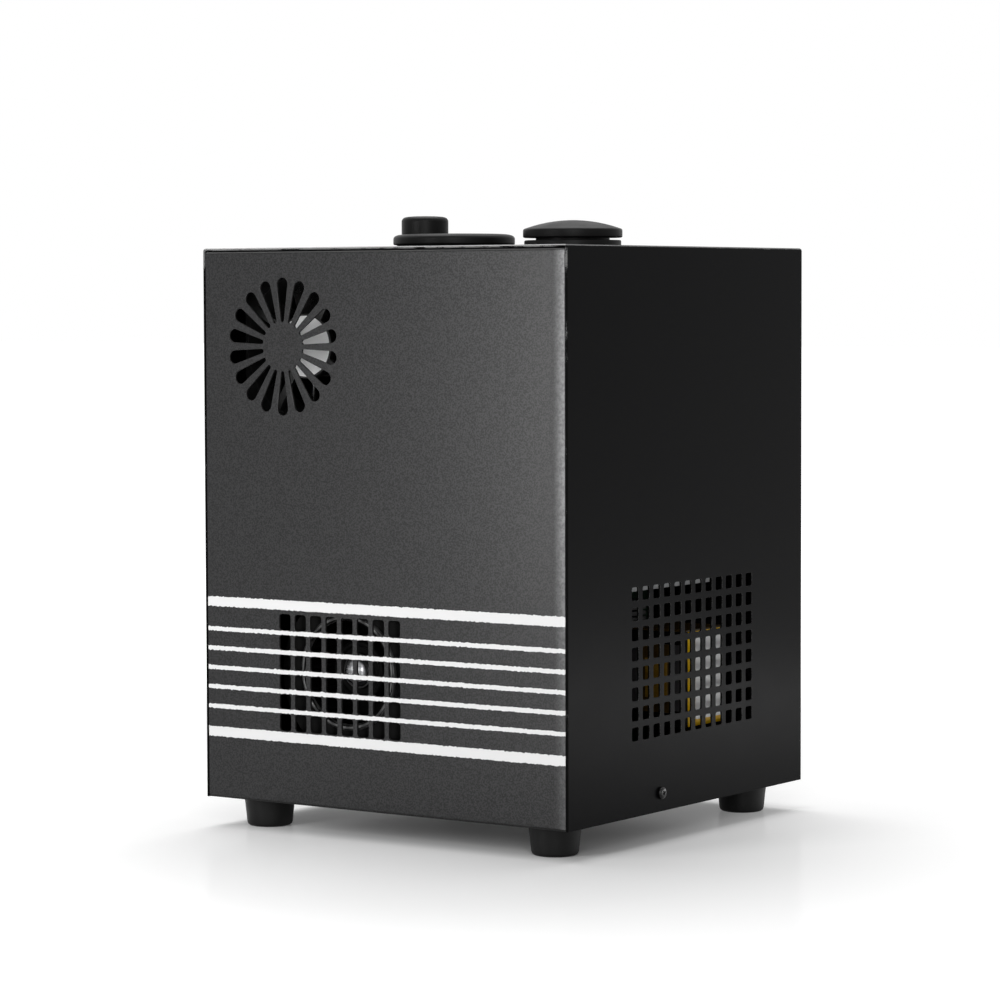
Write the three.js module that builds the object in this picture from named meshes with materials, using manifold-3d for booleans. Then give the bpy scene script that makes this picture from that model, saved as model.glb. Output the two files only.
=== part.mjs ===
// Cold spark machine: a sheet metal cabinet on four rubber feet that feeds metal granules from a
// hopper into an induction heated chamber and blows the glowing sparks up through a nozzle.
// Millimetres, +Z up. The origin lies on the floor under the middle of the cabinet and the front
// faces -Y. Heights inside the cabinet are counted from the underside of the cabinet.

import * as THREE from 'three';
import { mergeVertices } from 'three/addons/utils/BufferGeometryUtils.js';
import Module from 'manifold-3d';

const wasm = await Module();
wasm.setup();

// Cabinet
const cabinetWidth = 230;
const cabinetDepth = 230;
const cabinetHeight = 290;
const coverSheet = 1.2;
const coverBend = 1.6;
const panelSheet = 1.5;
const panelBend = 2.2;
const topFlange = 12;
const sideFlange = 16;
const sideFlangeInset = 14;
const rearRecess = 4;

// Free space between pieces
const fit = 0.3;
const seat = 0.1;
const overrun = 2;
const weldDistance = 0.0001;

// Smoothness of round shapes
const largeSteps = 24;
const roundSteps = 16;
const smallSteps = 12;
const bendSteps = 3;

// Feet and their screws
const footHeight = 16;
const footInset = 23.6;
const footTopRadius = 13.7;
const footBottomRadius = 12.1;
const footEdge = 2.2;
const footRecessRadius = 5;
const footRecessDepth = 6;
const footScrewRadius = 2;
const footScrewHeadRadius = 3.8;
const footScrewHead = 2.6;
const footScrewReach = 5;

// Cover screws, one in each side wall, and rear screws
const coverScrewY = -29;
const coverScrewHeight = 9.6;
const coverScrewRadius = 1.5;
const coverScrewHeadRadius = 3.25;
const coverScrewHead = 2;
const coverScrewReach = 5;
const recessShare = 0.45;
const rearScrewInset = 18;

// Round vent in the front panel
const ventFromLeft = 52.5;
const ventFromTop = 51.2;
const ventSlots = 18;
const ventInner = 12.8;
const ventOuter = 35.8;
const ventSlotInner = 1.15;
const ventSlotOuter = 3.5;
const ventSteps = 2;

// Grille in the front panel: the bars between its rows carry the stripes
const grilleLeft = 49.6;
const grilleColumns = 8;
const grilleRows = 6;
const grillePitchX = 10.1;
const grillePitchZ = 10.3;
const grilleHoleWidth = 6.9;
const grilleHoleHeight = 7.4;
const grilleEndExtra = 1.1;
const grilleHeight = 69.4;

// Grille in the right wall of the cover
const sideGrilleFront = 58.7;
const sideGrilleLow = 38.8;
const sideGrilleColumns = 12;
const sideGrilleRows = 8;
const sideGrillePitch = 10.2;
const sideGrilleHoleWidth = 6.5;
const sideGrilleHoleHeight = 7;

// Hopper neck, lid and knob
const hopperFromLeft = 80.3;
const neckFlangeRadius = 31;
const neckFlange = 2;
const neckRadius = 25;
const neckWall = 2;
const neckDepth = 14;
const lidRadius = 32.85;
const lidThickness = 5.8;
const lidChamfer = 2.6;
const lidChamferHeight = 2;
const lidPlugWall = 2;
const lidPlugDepth = 8;
const knobRadius = 12.7;
const knobHeight = 9.9;
const knobEdge = 2;
const knobOffset = 19.4;

// Hopper tank
const tankRadius = 46;
const tankWall = 1;
const tankBelowCover = 7;
const tankConeShare = 0.4;
const tankThroat = 8.9;
const tankThroatRadius = 11;

// Feed screw, its housing, coupling and motor
const feedAboveFloor = 67;
const feedHousingSize = 24;
const feedBore = 8.8;
const feedInletReach = 27.3;
const feedInletRadius = 10;
const augerRadius = 8.2;
const augerShaftRadius = 3;
const augerPitch = 15;
const augerFlight = 1.6;
const augerStepsPerTurn = 8;
const couplingRadius = 6.5;
const couplingLength = 14;
const motorShaftRadius = 3;
const motorShaftReach = 8;
const feedGearboxRadius = 18;
const feedGearboxLength = 22;
const feedMotorRadius = 16;
const feedMotorLength = 24;
const feedStandWidth = 18;
const feedStandSheet = 2;
const feedStandReach = 16.7;

// Heating chamber with its sleeve and coil
const nozzleFromLeft = 157.1;
const chamberRadius = 17;
const chamberBore = 14;
const chamberFloor = 3;
const chamberAboveFeed = 14;
const chamberFootRadius = 24;
const chamberFoot = 3;
const airPortAboveFloor = 18;
const airPortRadius = 11;
const airPortBore = 9;
const airPortReach = 36;
const feedPadThickness = 3;
const sleeveWall = 3.5;
const sleeveAbovePort = 1.5;
const sleeveBelowFeed = 2;
const coilTube = 5;
const coilRadius = 24;
const coilTurns = 3;
const coilPitch = 6;
const coilAbovePort = 3.6;
const coilSides = 5;
const coilStepsPerTurn = 12;

// Spark nozzle, its flange and cap
const nozzleTubeRadius = 18;
const nozzleBore = 16;
const nozzleSpigot = 3;
const nozzleFlangeRadius = 25.6;
const nozzleFlange = 3.8;
const capRadius = 26.25;
const capRim = 4.5;
const capDome = 4.8;
const capDomeSteps = 4;
const capShoulderRadius = 19.5;
const capShoulder = 1.2;
const capPlugWall = 3;
const capPlugDepth = 10;

// Inner frame that carries the chamber
const deckHeight = 118.4;
const frameSheet = 1.5;
const deckLeftReach = 66;
const deckFromRight = 11;
const deckBehindMotor = 10.4;
const deckRear = 37;
const deckLip = 5;
const frameFoot = 14;
const rearLegGap = 7;

// Blower behind the front grille
const blowerShiftX = 0.8;
const blowerShiftZ = 1.2;
const blowerSetback = 5.5;
const blowerLip = 2;
const blowerLipRadius = 29.8;
const blowerInletRadius = 27.5;
const blowerPlate = 2;
const blowerDepth = 31;
const blowerWall = 2;
const scrollStartRadius = 39.5;
const scrollEndRadius = 49;
const scrollStartAngle = 60;
const scrollEndAngle = 360;
const scrollSteps = 22;
const outletTop = 50;
const impellerRadius = 36;
const impellerInner = 28.6;
const impellerBlades = 16;
const impellerBlade = 1.2;
const impellerRing = 1.6;
const impellerGap = 1.2;
const impellerHubRadius = 16;
const impellerHubDepth = 22;
const blowerShaftRadius = 2.5;
const blowerMotorRadius = 15;
const blowerMotorDepth = 19;
const nutRadius = 6;
const nutDepth = 3.4;
const nutSteps = 4;
const blowerBracketLeft = -66;
const blowerBracketRight = 14;
const blowerBracketTop = 98;
const blowerBracketFoot = 16;
const bracketSheet = 1.5;

// Air duct from the blower to the chamber
const ductRadius = 13;
const ductBore = 11.4;
const ductCollar = 6;
const ductRise = 34;
const ductRun = 46;
const ductSides = 7;
const ductSteps = 10;
const ductGrip = 12;

// Cooling fan behind the round vent
const fanSize = 80;
const fanDepth = 25;
const fanSetback = 19.5;
const fanBore = 38;
const fanCorner = 4;
const fanHubRadius = 17;
const fanHubDepth = 3;
const fanStrut = 4;
const fanStruts = 4;
const fanStrutAngle = 30;
const fanHoleSpacing = 71.5;
const fanHoleRadius = 2.15;
const fanStudRadius = 3;
const rotorHubRadius = 16.5;
const rotorRadius = 36.6;
const rotorBlades = 7;
const rotorBlade = 1.5;
const rotorChord = 19;
const rotorPitch = 52;

// Power board, standing on its own bracket behind the side grille
const boardFromRight = 68;
const boardFromFront = 39;
const boardLength = 132;
const boardLow = 24;
const boardBelowDeck = 10.4;
const boardStandoff = 6;
const boardStandoffRadius = 3;
const boardStandoffInset = 6;
const boardSheet = 1.6;
const boardBracketFoot = 16;
const transformerFromRight = 10;
const transformerFromFront = 128.5;
const transformerLength = 36;
const transformerLow = 38.5;
const transformerHigh = 89.5;
const transformerCoreInset = 8;
const transformerCoreProud = 2;
const filmCapacitorDepth = 22;
const filmCapacitorFromFront = 87;
const filmCapacitorLength = 26;
const filmCapacitorLow = 48;
const filmCapacitorHigh = 70;
const bulkCapacitorRadius = 11;
const bulkCapacitorLength = 34;
const bulkCapacitorFromFront = 57;
const bulkCapacitorHeights = [44, 72];
const bulkCapacitorEdge = 1.2;
const heatSinkBelowDeck = 12.4;
const heatSinkTall = 14;
const heatSinkDepth = 30;
const heatSinkFins = 5;
const heatSinkFin = 2;
const heatSinkFromFront = 75;
const heatSinkLength = 42;

// Rear panel and what is on it
const displayWidth = 62;
const displayHeight = 22;
const displayFromTop = 54;
const displayProud = 0.8;
const displayBoardWidth = 96;
const displayBoardHeight = 66;
const displayBoardFromTop = 64;
const displayBoardSheet = 1.6;
const displayBoardStandoff = 9.5;
const displayStudRadius = 3;
const displayStudInset = 6;
const buttonRadius = 4;
const buttonPitch = 19;
const buttonCount = 4;
const buttonFromTop = 80;
const buttonProud = 2.4;
const buttonCollarRadius = 5.2;
const buttonCollar = 1.6;
const buttonTravel = 1;
const buttonTact = 3.5;
const buttonTactSize = 6;
const buttonEdge = 0.8;
const switchFromLeft = 37;
const switchHeight = 98;
const switchWidth = 15;
const switchTall = 21;
const switchBezel = 1.8;
const switchBodyWidth = 12.6;
const switchBodyTall = 18.6;
const switchBodyDepth = 15;
const switchWall = 1.3;
const rockerTilt = 8;
const rockerProud = 1.2;
const rockerDepth = 7;
const rockerPinRadius = 1.2;
const rockerNose = 1.4;
const rockerPinReach = 0.8;
const inletFromLeft = 37;
const inletHeight = 58;
const inletFlangeWidth = 30;
const inletFlangeTall = 36;
const inletFlange = 2.4;
const inletBodyWidth = 27;
const inletBodyTall = 20;
const inletBodyDepth = 24;
const inletCavityWidth = 23.4;
const inletCavityTall = 16.2;
const inletCavityDepth = 17;
const inletPinWidth = 2;
const inletPinTall = 4;
const inletPinLength = 14;
const inletPinSpread = 7;
const inletPinRise = 3.2;
const dmxHeight = 62;
const dmxInputFromRight = 105;
const dmxOutputFromRight = 63;
const dmxFlangeWidth = 26;
const dmxFlangeTall = 31;
const dmxFlange = 2.4;
const dmxBodyRadius = 11.6;
const dmxBodyDepth = 20;
const dmxCavityRadius = 8.6;
const dmxCavityDepth = 15;
const dmxPinRadius = 1.2;
const dmxPinCircle = 5;
const dmxPinLength = 12;
const dmxPins = 3;
const dmxPinTurn = 30;

// Finishes
function finish(color, roughness, metalness) {
  return new THREE.MeshStandardMaterial({ color, roughness, metalness });
}
const greyPaint = finish('#4b4b4d', 0.75, 0);
const blackPaint = finish('#1d1d1e', 0.5, 0);
const blackPlastic = finish('#1c1c1d', 0.55, 0);
const rubber = finish('#151515', 0.85, 0);
const blackSteel = finish('#26282a', 0.4, 0.8);
const zincSteel = finish('#b9bcbd', 0.4, 0.9);
const stainless = finish('#a7a9ab', 0.3, 1);
const aluminium = finish('#9a9c9e', 0.45, 0.9);
const copper = finish('#b87346', 0.35, 1);
const ceramic = finish('#e4dfd2', 0.8, 0);
const greenBoard = finish('#1f4a2e', 0.6, 0);
const yellowTape = finish('#e0a51c', 0.5, 0);
const brownFilm = finish('#7a4a12', 0.45, 0);
const darkGlass = finish('#0b0d12', 0.1, 0);

// Places worked out from the sizes above
const frontY = -cabinetDepth / 2;
const rearY = cabinetDepth / 2;
const rightX = cabinetWidth / 2;
const leftX = -cabinetWidth / 2;
const panelHalf = rightX - coverSheet - fit;
const panelTop = cabinetHeight - coverSheet - fit;
const panelBack = frontY + panelSheet;
const baseTop = panelSheet + seat;
const rearPanelBack = rearY - rearRecess;
const rearPanelFront = rearPanelBack - panelSheet;
const baseEnd = rearPanelFront - fit;
const ventX = leftX + ventFromLeft;
const ventHeight = cabinetHeight - ventFromTop;
const grilleX = leftX + grilleLeft + ((grilleColumns - 1) * grillePitchX + grilleHoleWidth) / 2;
const blowerX = grilleX + blowerShiftX;
const blowerHeight = grilleHeight + blowerShiftZ;
const hopperX = leftX + hopperFromLeft;
const nozzleX = leftX + nozzleFromLeft;
const neckSeat = cabinetHeight + seat;
const lidSeat = neckSeat + neckFlange + seat;
const lidTop = lidSeat + lidThickness;
const fanFront = frontY + fanSetback;
const fanBack = fanFront + fanDepth;
const deckTop = deckHeight + frameSheet;
const chamberBottom = deckTop + seat;
const airPortHeight = chamberBottom + airPortAboveFloor;
const airPortTop = airPortHeight + airPortRadius;
const feedHeight = chamberBottom + feedAboveFloor;
const feedLow = feedHeight - feedHousingSize / 2;
const chamberTop = feedHeight + chamberAboveFeed;
const feedLeft = hopperX - feedInletReach;
const feedRight = nozzleX - chamberRadius - feedPadThickness + overrun - fit;
const tankThroatLow = feedHeight + feedHousingSize / 2 + seat;
const tankThroatTop = tankThroatLow + tankThroat;
const tankTop = cabinetHeight - tankBelowCover;
const tankShoulder = tankThroatTop + (tankTop - tankThroatTop) * tankConeShare;
const boardBracketX = rightX - boardFromRight;
const boardFront = frontY + boardFromFront;
const boardRear = boardFront + boardLength;
const boardHigh = deckHeight - boardBelowDeck;

// Geometry helpers. Every shape is turned into a solid whose faces point out.
function solid(geometry) {
  const bare = geometry.clone();
  bare.deleteAttribute('normal');
  bare.deleteAttribute('uv');
  const merged = mergeVertices(bare, weldDistance);
  const corner = merged.index;
  const place = merged.attributes.position;
  const a = new THREE.Vector3();
  const b = new THREE.Vector3();
  const c = new THREE.Vector3();
  const triangles = [];
  let volume = 0;
  for (let i = 0; i < corner.count; i += 3) {
    const [p, q, r] = [corner.getX(i), corner.getX(i + 1), corner.getX(i + 2)];
    if (p !== q && q !== r && r !== p) {
      triangles.push([p, q, r]);
      a.fromBufferAttribute(place, p);
      b.fromBufferAttribute(place, q);
      c.fromBufferAttribute(place, r);
      volume += a.dot(b.cross(c));
    }
  }
  const ordered = volume < 0 ? triangles.map(([p, q, r]) => [p, r, q]) : triangles;
  const mesh = new wasm.Mesh({
    numProp: 3,
    vertProperties: new Float32Array(place.array),
    triVerts: new Uint32Array(ordered.flat()),
  });
  return new wasm.Manifold(mesh);
}

function joined(...solids) {
  return solids.reduce((whole, next) => whole.add(next));
}

function cut(whole, ...cutters) {
  return cutters.reduce((rest, cutter) => rest.subtract(cutter), whole);
}

function box(x0, x1, y0, y1, z0, z1) {
  const geometry = new THREE.BoxGeometry(x1 - x0, y1 - y0, z1 - z0);
  geometry.translate((x0 + x1) / 2, (y0 + y1) / 2, (z0 + z1) / 2);
  return solid(geometry);
}

// Rods along an axis; the two places are the rod's centre in the plane across it.
function rodZ(radius, x, y, z0, z1, steps = roundSteps) {
  const geometry = new THREE.CylinderGeometry(radius, radius, z1 - z0, steps);
  geometry.rotateX(Math.PI / 2);
  geometry.translate(x, y, (z0 + z1) / 2);
  return solid(geometry);
}

function rodY(radius, x, z, y0, y1, steps = roundSteps) {
  const geometry = new THREE.CylinderGeometry(radius, radius, y1 - y0, steps);
  geometry.translate(x, (y0 + y1) / 2, z);
  return solid(geometry);
}

function rodX(radius, y, z, x0, x1, steps = roundSteps) {
  const geometry = new THREE.CylinderGeometry(radius, radius, x1 - x0, steps);
  geometry.rotateZ(Math.PI / 2);
  geometry.translate((x0 + x1) / 2, y, z);
  return solid(geometry);
}

// A turned piece: points are [radius, place along the axis].
function turnedZ(points, x, y, steps = roundSteps) {
  const outline = points.map(([radius, z]) => new THREE.Vector2(radius, z));
  const geometry = new THREE.LatheGeometry(outline, steps);
  geometry.rotateX(Math.PI / 2);
  geometry.translate(x, y, 0);
  return solid(geometry);
}

function turnedY(points, x, z, steps = roundSteps) {
  const outline = points.map(([radius, y]) => new THREE.Vector2(radius, y));
  const geometry = new THREE.LatheGeometry(outline, steps);
  geometry.translate(x, 0, z);
  return solid(geometry);
}

function turnedX(points, y, z, steps = roundSteps) {
  const outline = points.map(([radius, x]) => new THREE.Vector2(radius, x));
  const geometry = new THREE.LatheGeometry(outline, steps);
  geometry.rotateZ(-Math.PI / 2);
  geometry.translate(0, y, z);
  return solid(geometry);
}

// Extruded outlines: drawn in (y, z) and run along X, or drawn in (x, z) and run along Y.
function alongX(shapes, x0, x1, curveSegments = bendSteps) {
  const geometry = new THREE.ExtrudeGeometry(shapes, { depth: x1 - x0, bevelEnabled: false, curveSegments });
  geometry.rotateX(Math.PI / 2);
  geometry.rotateZ(Math.PI / 2);
  geometry.translate(x0, 0, 0);
  return solid(geometry);
}

function alongY(shapes, y0, y1, curveSegments = bendSteps) {
  const geometry = new THREE.ExtrudeGeometry(shapes, { depth: y1 - y0, bevelEnabled: false, curveSegments });
  geometry.rotateX(Math.PI / 2);
  geometry.translate(0, y1, 0);
  return solid(geometry);
}

// A rectangle with rounded corners, centred on a point.
function roundedRectangle(x, z, width, height, radius) {
  const shape = new THREE.Shape();
  const [left, right, low, high] = [x - width / 2, x + width / 2, z - height / 2, z + height / 2];
  shape.absarc(right - radius, high - radius, radius, 0, Math.PI / 2);
  shape.absarc(left + radius, high - radius, radius, Math.PI / 2, Math.PI);
  shape.absarc(left + radius, low + radius, radius, Math.PI, Math.PI * 3 / 2);
  shape.absarc(right - radius, low + radius, radius, Math.PI * 3 / 2, Math.PI * 2);
  return shape;
}

// A rectangle, centred on a point.
function rectangle(a, b, width, height) {
  const [left, right, low, high] = [a - width / 2, a + width / 2, b - height / 2, b + height / 2];
  const corners = [[left, low], [right, low], [right, high], [left, high]];
  return new THREE.Shape(corners.map(([x, y]) => new THREE.Vector2(x, y)));
}

const machine = new THREE.Group();
machine.position.z = footHeight;

function piece(name, whole, material) {
  const { vertProperties, triVerts } = whole.getMesh();
  const geometry = new THREE.BufferGeometry();
  geometry.setAttribute('position', new THREE.BufferAttribute(new Float32Array(vertProperties), 3));
  geometry.setIndex(new THREE.BufferAttribute(new Uint32Array(triVerts), 1));
  geometry.computeVertexNormals();
  const mesh = new THREE.Mesh(geometry, material);
  mesh.name = name;
  machine.add(mesh);
}

// A pan head screw driven along -Z from its seat, with a slot across its head.
function panScrew(radius, headRadius, head, reach) {
  const shank = rodZ(radius, 0, 0, -reach, head / 2, smallSteps);
  const dome = turnedZ([
    [0, 0],
    [headRadius, 0],
    [headRadius, head / 2],
    [headRadius * (1 - recessShare / 2), head],
    [0, head],
    [0, 0],
  ], 0, 0, smallSteps);
  const slotHalf = headRadius * recessShare;
  const slotThin = slotHalf * recessShare / 2;
  const slotFloor = head * (1 - recessShare);
  const slotAcross = box(-slotHalf, slotHalf, -slotThin, slotThin, slotFloor, head + overrun);
  const slotAlong = box(-slotThin, slotThin, -slotHalf, slotHalf, slotFloor, head + overrun);
  return cut(joined(shank, dome), joined(slotAcross, slotAlong));
}

// Chassis: front panel, base and rear lip bent from one sheet
function ventSlot(index) {
  const turn = Math.PI / 2 + index * 2 * Math.PI / ventSlots;
  const start = ventInner + ventSlotInner;
  const end = ventOuter - ventSlotOuter;
  const shape = new THREE.Shape();
  const centreOf = (distance) => [ventX + distance * Math.cos(turn), ventHeight + distance * Math.sin(turn)];
  shape.absarc(...centreOf(end), ventSlotOuter, turn - Math.PI / 2, turn + Math.PI / 2);
  shape.absarc(...centreOf(start), ventSlotInner, turn + Math.PI / 2, turn + Math.PI * 3 / 2);
  return shape;
}

function grilleHoles() {
  const holes = [];
  for (let column = 0; column < grilleColumns; column += 1) {
    const x = leftX + grilleLeft + grilleHoleWidth / 2 + column * grillePitchX;
    for (let row = 0; row < grilleRows; row += 1) {
      const middle = grilleHeight + (row - (grilleRows - 1) / 2) * grillePitchZ;
      const low = row === 0 ? grilleEndExtra : 0;
      const high = row === grilleRows - 1 ? grilleEndExtra : 0;
      const height = grilleHoleHeight + low + high;
      holes.push(rectangle(x, middle + (high - low) / 2, grilleHoleWidth, height));
    }
  }
  return holes;
}

function footPlaces() {
  const x = rightX - footInset;
  const y = rearY - footInset;
  return [['front_left', -x, -y], ['front_right', x, -y], ['rear_left', -x, y], ['rear_right', x, y]];
}

function fanHolePlaces() {
  const half = fanHoleSpacing / 2;
  const corners = [[-half, -half], [half, -half], [-half, half], [half, half]];
  return corners.map(([x, z]) => [ventX + x, ventHeight + z]);
}

function rearScrewPlaces() {
  const x = panelHalf - rearScrewInset;
  return [['left', -x], ['right', x]];
}

function chassis() {
  const inner = panelBend - panelSheet;
  const [low, high] = [panelBend, panelTop - panelBend];
  const strip = new THREE.Shape();
  strip.moveTo(frontY + topFlange, panelTop);
  strip.absarc(frontY + panelBend, high, panelBend, Math.PI / 2, Math.PI);
  strip.absarc(frontY + panelBend, low, panelBend, Math.PI, Math.PI * 3 / 2);
  strip.absarc(baseEnd - panelBend, low, panelBend, Math.PI * 3 / 2, Math.PI * 2);
  strip.lineTo(baseEnd, sideFlange);
  strip.lineTo(baseEnd - panelSheet, sideFlange);
  strip.absarc(baseEnd - panelBend, low, inner, 0, -Math.PI / 2, true);
  strip.absarc(frontY + panelBend, low, inner, Math.PI * 3 / 2, Math.PI, true);
  strip.absarc(frontY + panelBend, high, inner, Math.PI, Math.PI / 2, true);
  strip.lineTo(frontY + topFlange, panelTop - panelSheet);
  let sheet = alongX(strip, -panelHalf, panelHalf);
  const flangeEnds = [frontY + sideFlangeInset, baseEnd - sideFlangeInset];
  for (const outside of [-panelHalf, panelHalf - panelSheet]) {
    sheet = sheet.add(box(outside, outside + panelSheet, ...flangeEnds, panelSheet / 2, sideFlange));
  }
  for (const [x, z] of fanHolePlaces()) {
    sheet = sheet.add(rodY(fanStudRadius, x, z, frontY + panelSheet / 2, fanFront - seat, smallSteps));
  }
  const through = [frontY - overrun, panelBack + overrun];
  const slots = Array.from({ length: ventSlots }, (_, index) => ventSlot(index));
  sheet = cut(sheet, alongY(slots, ...through, ventSteps), alongY(grilleHoles(), ...through));
  for (const [, x, y] of footPlaces()) {
    sheet = sheet.subtract(rodZ(footScrewRadius + fit, x, y, -overrun, panelSheet + overrun, smallSteps));
  }
  const screwHole = coverScrewRadius + fit;
  const hole = [screwHole, coverScrewY, coverScrewHeight, -cabinetWidth, cabinetWidth, smallSteps];
  sheet = sheet.subtract(rodX(...hole));
  for (const [, x] of rearScrewPlaces()) {
    const rear = [baseEnd - panelSheet - overrun, baseEnd + overrun];
    sheet = sheet.subtract(rodY(screwHole, x, coverScrewHeight, ...rear, smallSteps));
  }
  return sheet;
}
piece('chassis', chassis(), greyPaint);

// Cover: both side walls and the top bent from one sheet
function sideGrilleHoles() {
  const holes = [];
  for (let column = 0; column < sideGrilleColumns; column += 1) {
    const y = frontY + sideGrilleFront + sideGrilleHoleWidth / 2 + column * sideGrillePitch;
    for (let row = 0; row < sideGrilleRows; row += 1) {
      const z = sideGrilleLow + sideGrilleHoleHeight / 2 + row * sideGrillePitch;
      holes.push(rectangle(y, z, sideGrilleHoleWidth, sideGrilleHoleHeight));
    }
  }
  return holes;
}

function cover() {
  const inner = coverBend - coverSheet;
  const high = cabinetHeight - coverBend;
  const strip = new THREE.Shape();
  strip.moveTo(rightX, 0);
  strip.absarc(rightX - coverBend, high, coverBend, 0, Math.PI / 2);
  strip.absarc(leftX + coverBend, high, coverBend, Math.PI / 2, Math.PI);
  strip.lineTo(leftX, 0);
  strip.lineTo(leftX + coverSheet, 0);
  strip.absarc(leftX + coverBend, high, inner, Math.PI, Math.PI / 2, true);
  strip.absarc(rightX - coverBend, high, inner, Math.PI / 2, 0, true);
  strip.lineTo(rightX - coverSheet, 0);
  let sheet = alongY(strip, frontY, rearY);
  const wall = [rightX - coverSheet - overrun, rightX + overrun];
  const top = [cabinetHeight - coverSheet - overrun, cabinetHeight + overrun];
  const screwHole = coverScrewRadius + fit;
  const hole = [screwHole, coverScrewY, coverScrewHeight, -cabinetWidth, cabinetWidth, smallSteps];
  sheet = cut(
    sheet,
    alongX(sideGrilleHoles(), ...wall),
    rodZ(neckRadius + fit, hopperX, 0, ...top, largeSteps),
    rodZ(nozzleTubeRadius + fit, nozzleX, 0, ...top, largeSteps),
    rodX(...hole),
  );
  return sheet;
}
piece('cover', cover(), blackPaint);

// Cover screws, rear screws, feet and foot screws
function turned(whole, x, y, z) {
  return whole.rotate([x, y, z]);
}

const coverScrew = panScrew(coverScrewRadius, coverScrewHeadRadius, coverScrewHead, coverScrewReach);
piece('cover_screw_right', turned(coverScrew, 0, 90, 0)
  .translate([rightX + seat, coverScrewY, coverScrewHeight]), blackSteel);
piece('cover_screw_left', turned(coverScrew, 0, -90, 0)
  .translate([leftX - seat, coverScrewY, coverScrewHeight]), blackSteel);
for (const [name, x] of rearScrewPlaces()) {
  const place = [x, rearPanelBack + seat, coverScrewHeight];
  piece(`rear_screw_${name}`, turned(coverScrew, -90, 0, 0).translate(place), blackSteel);
}

function foot(x, y) {
  const low = -footHeight;
  const hole = footScrewRadius + fit;
  const recessTop = low + footRecessDepth;
  return turnedZ([
    [hole, -seat],
    [footTopRadius, -seat],
    [footBottomRadius, low + footEdge],
    [footBottomRadius - footEdge * recessShare, low + footEdge * recessShare / 2],
    [footBottomRadius - footEdge, low],
    [footRecessRadius, low],
    [footRecessRadius, recessTop],
    [hole, recessTop],
    [hole, -seat],
  ], x, y);
}

for (const [name, x, y] of footPlaces()) {
  const seatLow = -footHeight + footRecessDepth - seat;
  const reach = footScrewReach - seatLow;
  const screw = panScrew(footScrewRadius, footScrewHeadRadius, footScrewHead, reach);
  piece(`foot_${name}`, foot(x, y), rubber);
  piece(`foot_screw_${name}`, turned(screw, 180, 0, 0).translate([x, y, seatLow]), zincSteel);
}

// Hopper neck, lid, knob and tank
const neckLow = neckSeat - neckDepth;
piece('hopper_neck', turnedZ([
  [neckRadius - neckWall, neckSeat + neckFlange],
  [neckFlangeRadius, neckSeat + neckFlange],
  [neckFlangeRadius, neckSeat],
  [neckRadius, neckSeat],
  [neckRadius, neckLow],
  [neckRadius - neckWall, neckLow],
  [neckRadius - neckWall, neckSeat + neckFlange],
], hopperX, 0, largeSteps), blackPlastic);

const lidPlugRadius = neckRadius - neckWall - fit;
piece('hopper_lid', turnedZ([
  [0, lidTop],
  [lidRadius - lidChamfer, lidTop],
  [lidRadius, lidTop - lidChamferHeight],
  [lidRadius, lidSeat],
  [lidPlugRadius, lidSeat],
  [lidPlugRadius, lidSeat - lidPlugDepth],
  [lidPlugRadius - lidPlugWall, lidSeat - lidPlugDepth],
  [lidPlugRadius - lidPlugWall, lidSeat],
  [0, lidSeat],
  [0, lidTop],
], hopperX, 0, largeSteps), blackPlastic);

const knobLow = lidTop + seat;
const knobTop = knobLow + knobHeight;
piece('lid_knob', turnedZ([
  [0, knobLow],
  [knobRadius, knobLow],
  [knobRadius, knobTop - knobEdge],
  [knobRadius - knobEdge * (1 - Math.SQRT1_2), knobTop - knobEdge * (1 - Math.SQRT1_2)],
  [knobRadius - knobEdge, knobTop],
  [0, knobTop],
  [0, knobLow],
], hopperX - knobOffset, 0), blackPlastic);

const throatOuter = tankThroatRadius;
const throatBore = tankThroatRadius - tankWall;
piece('hopper_tank', turnedZ([
  [neckRadius + fit, tankTop],
  [tankRadius, tankTop],
  [tankRadius, tankShoulder],
  [throatOuter, tankThroatTop],
  [throatOuter, tankThroatLow],
  [throatBore, tankThroatLow],
  [throatBore, tankThroatTop],
  [tankRadius - tankWall, tankShoulder],
  [tankRadius - tankWall, tankTop - tankWall],
  [neckRadius + fit, tankTop - tankWall],
  [neckRadius + fit, tankTop],
], hopperX, 0, largeSteps), stainless);

// Feed housing, screw, coupling, motor and stand
const housingHalf = feedHousingSize / 2;
function feedHousing() {
  const height = [feedHeight - housingHalf, feedHeight + housingHalf];
  const block = box(feedLeft, feedRight, -housingHalf, housingHalf, ...height);
  const bore = rodX(feedBore, 0, feedHeight, feedLeft - overrun, feedRight + overrun);
  const inlet = rodZ(feedInletRadius, hopperX, 0, feedHeight, feedHeight + housingHalf + overrun);
  return cut(block, bore, inlet);
}
piece('feed_housing', feedHousing(), aluminium);

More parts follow.
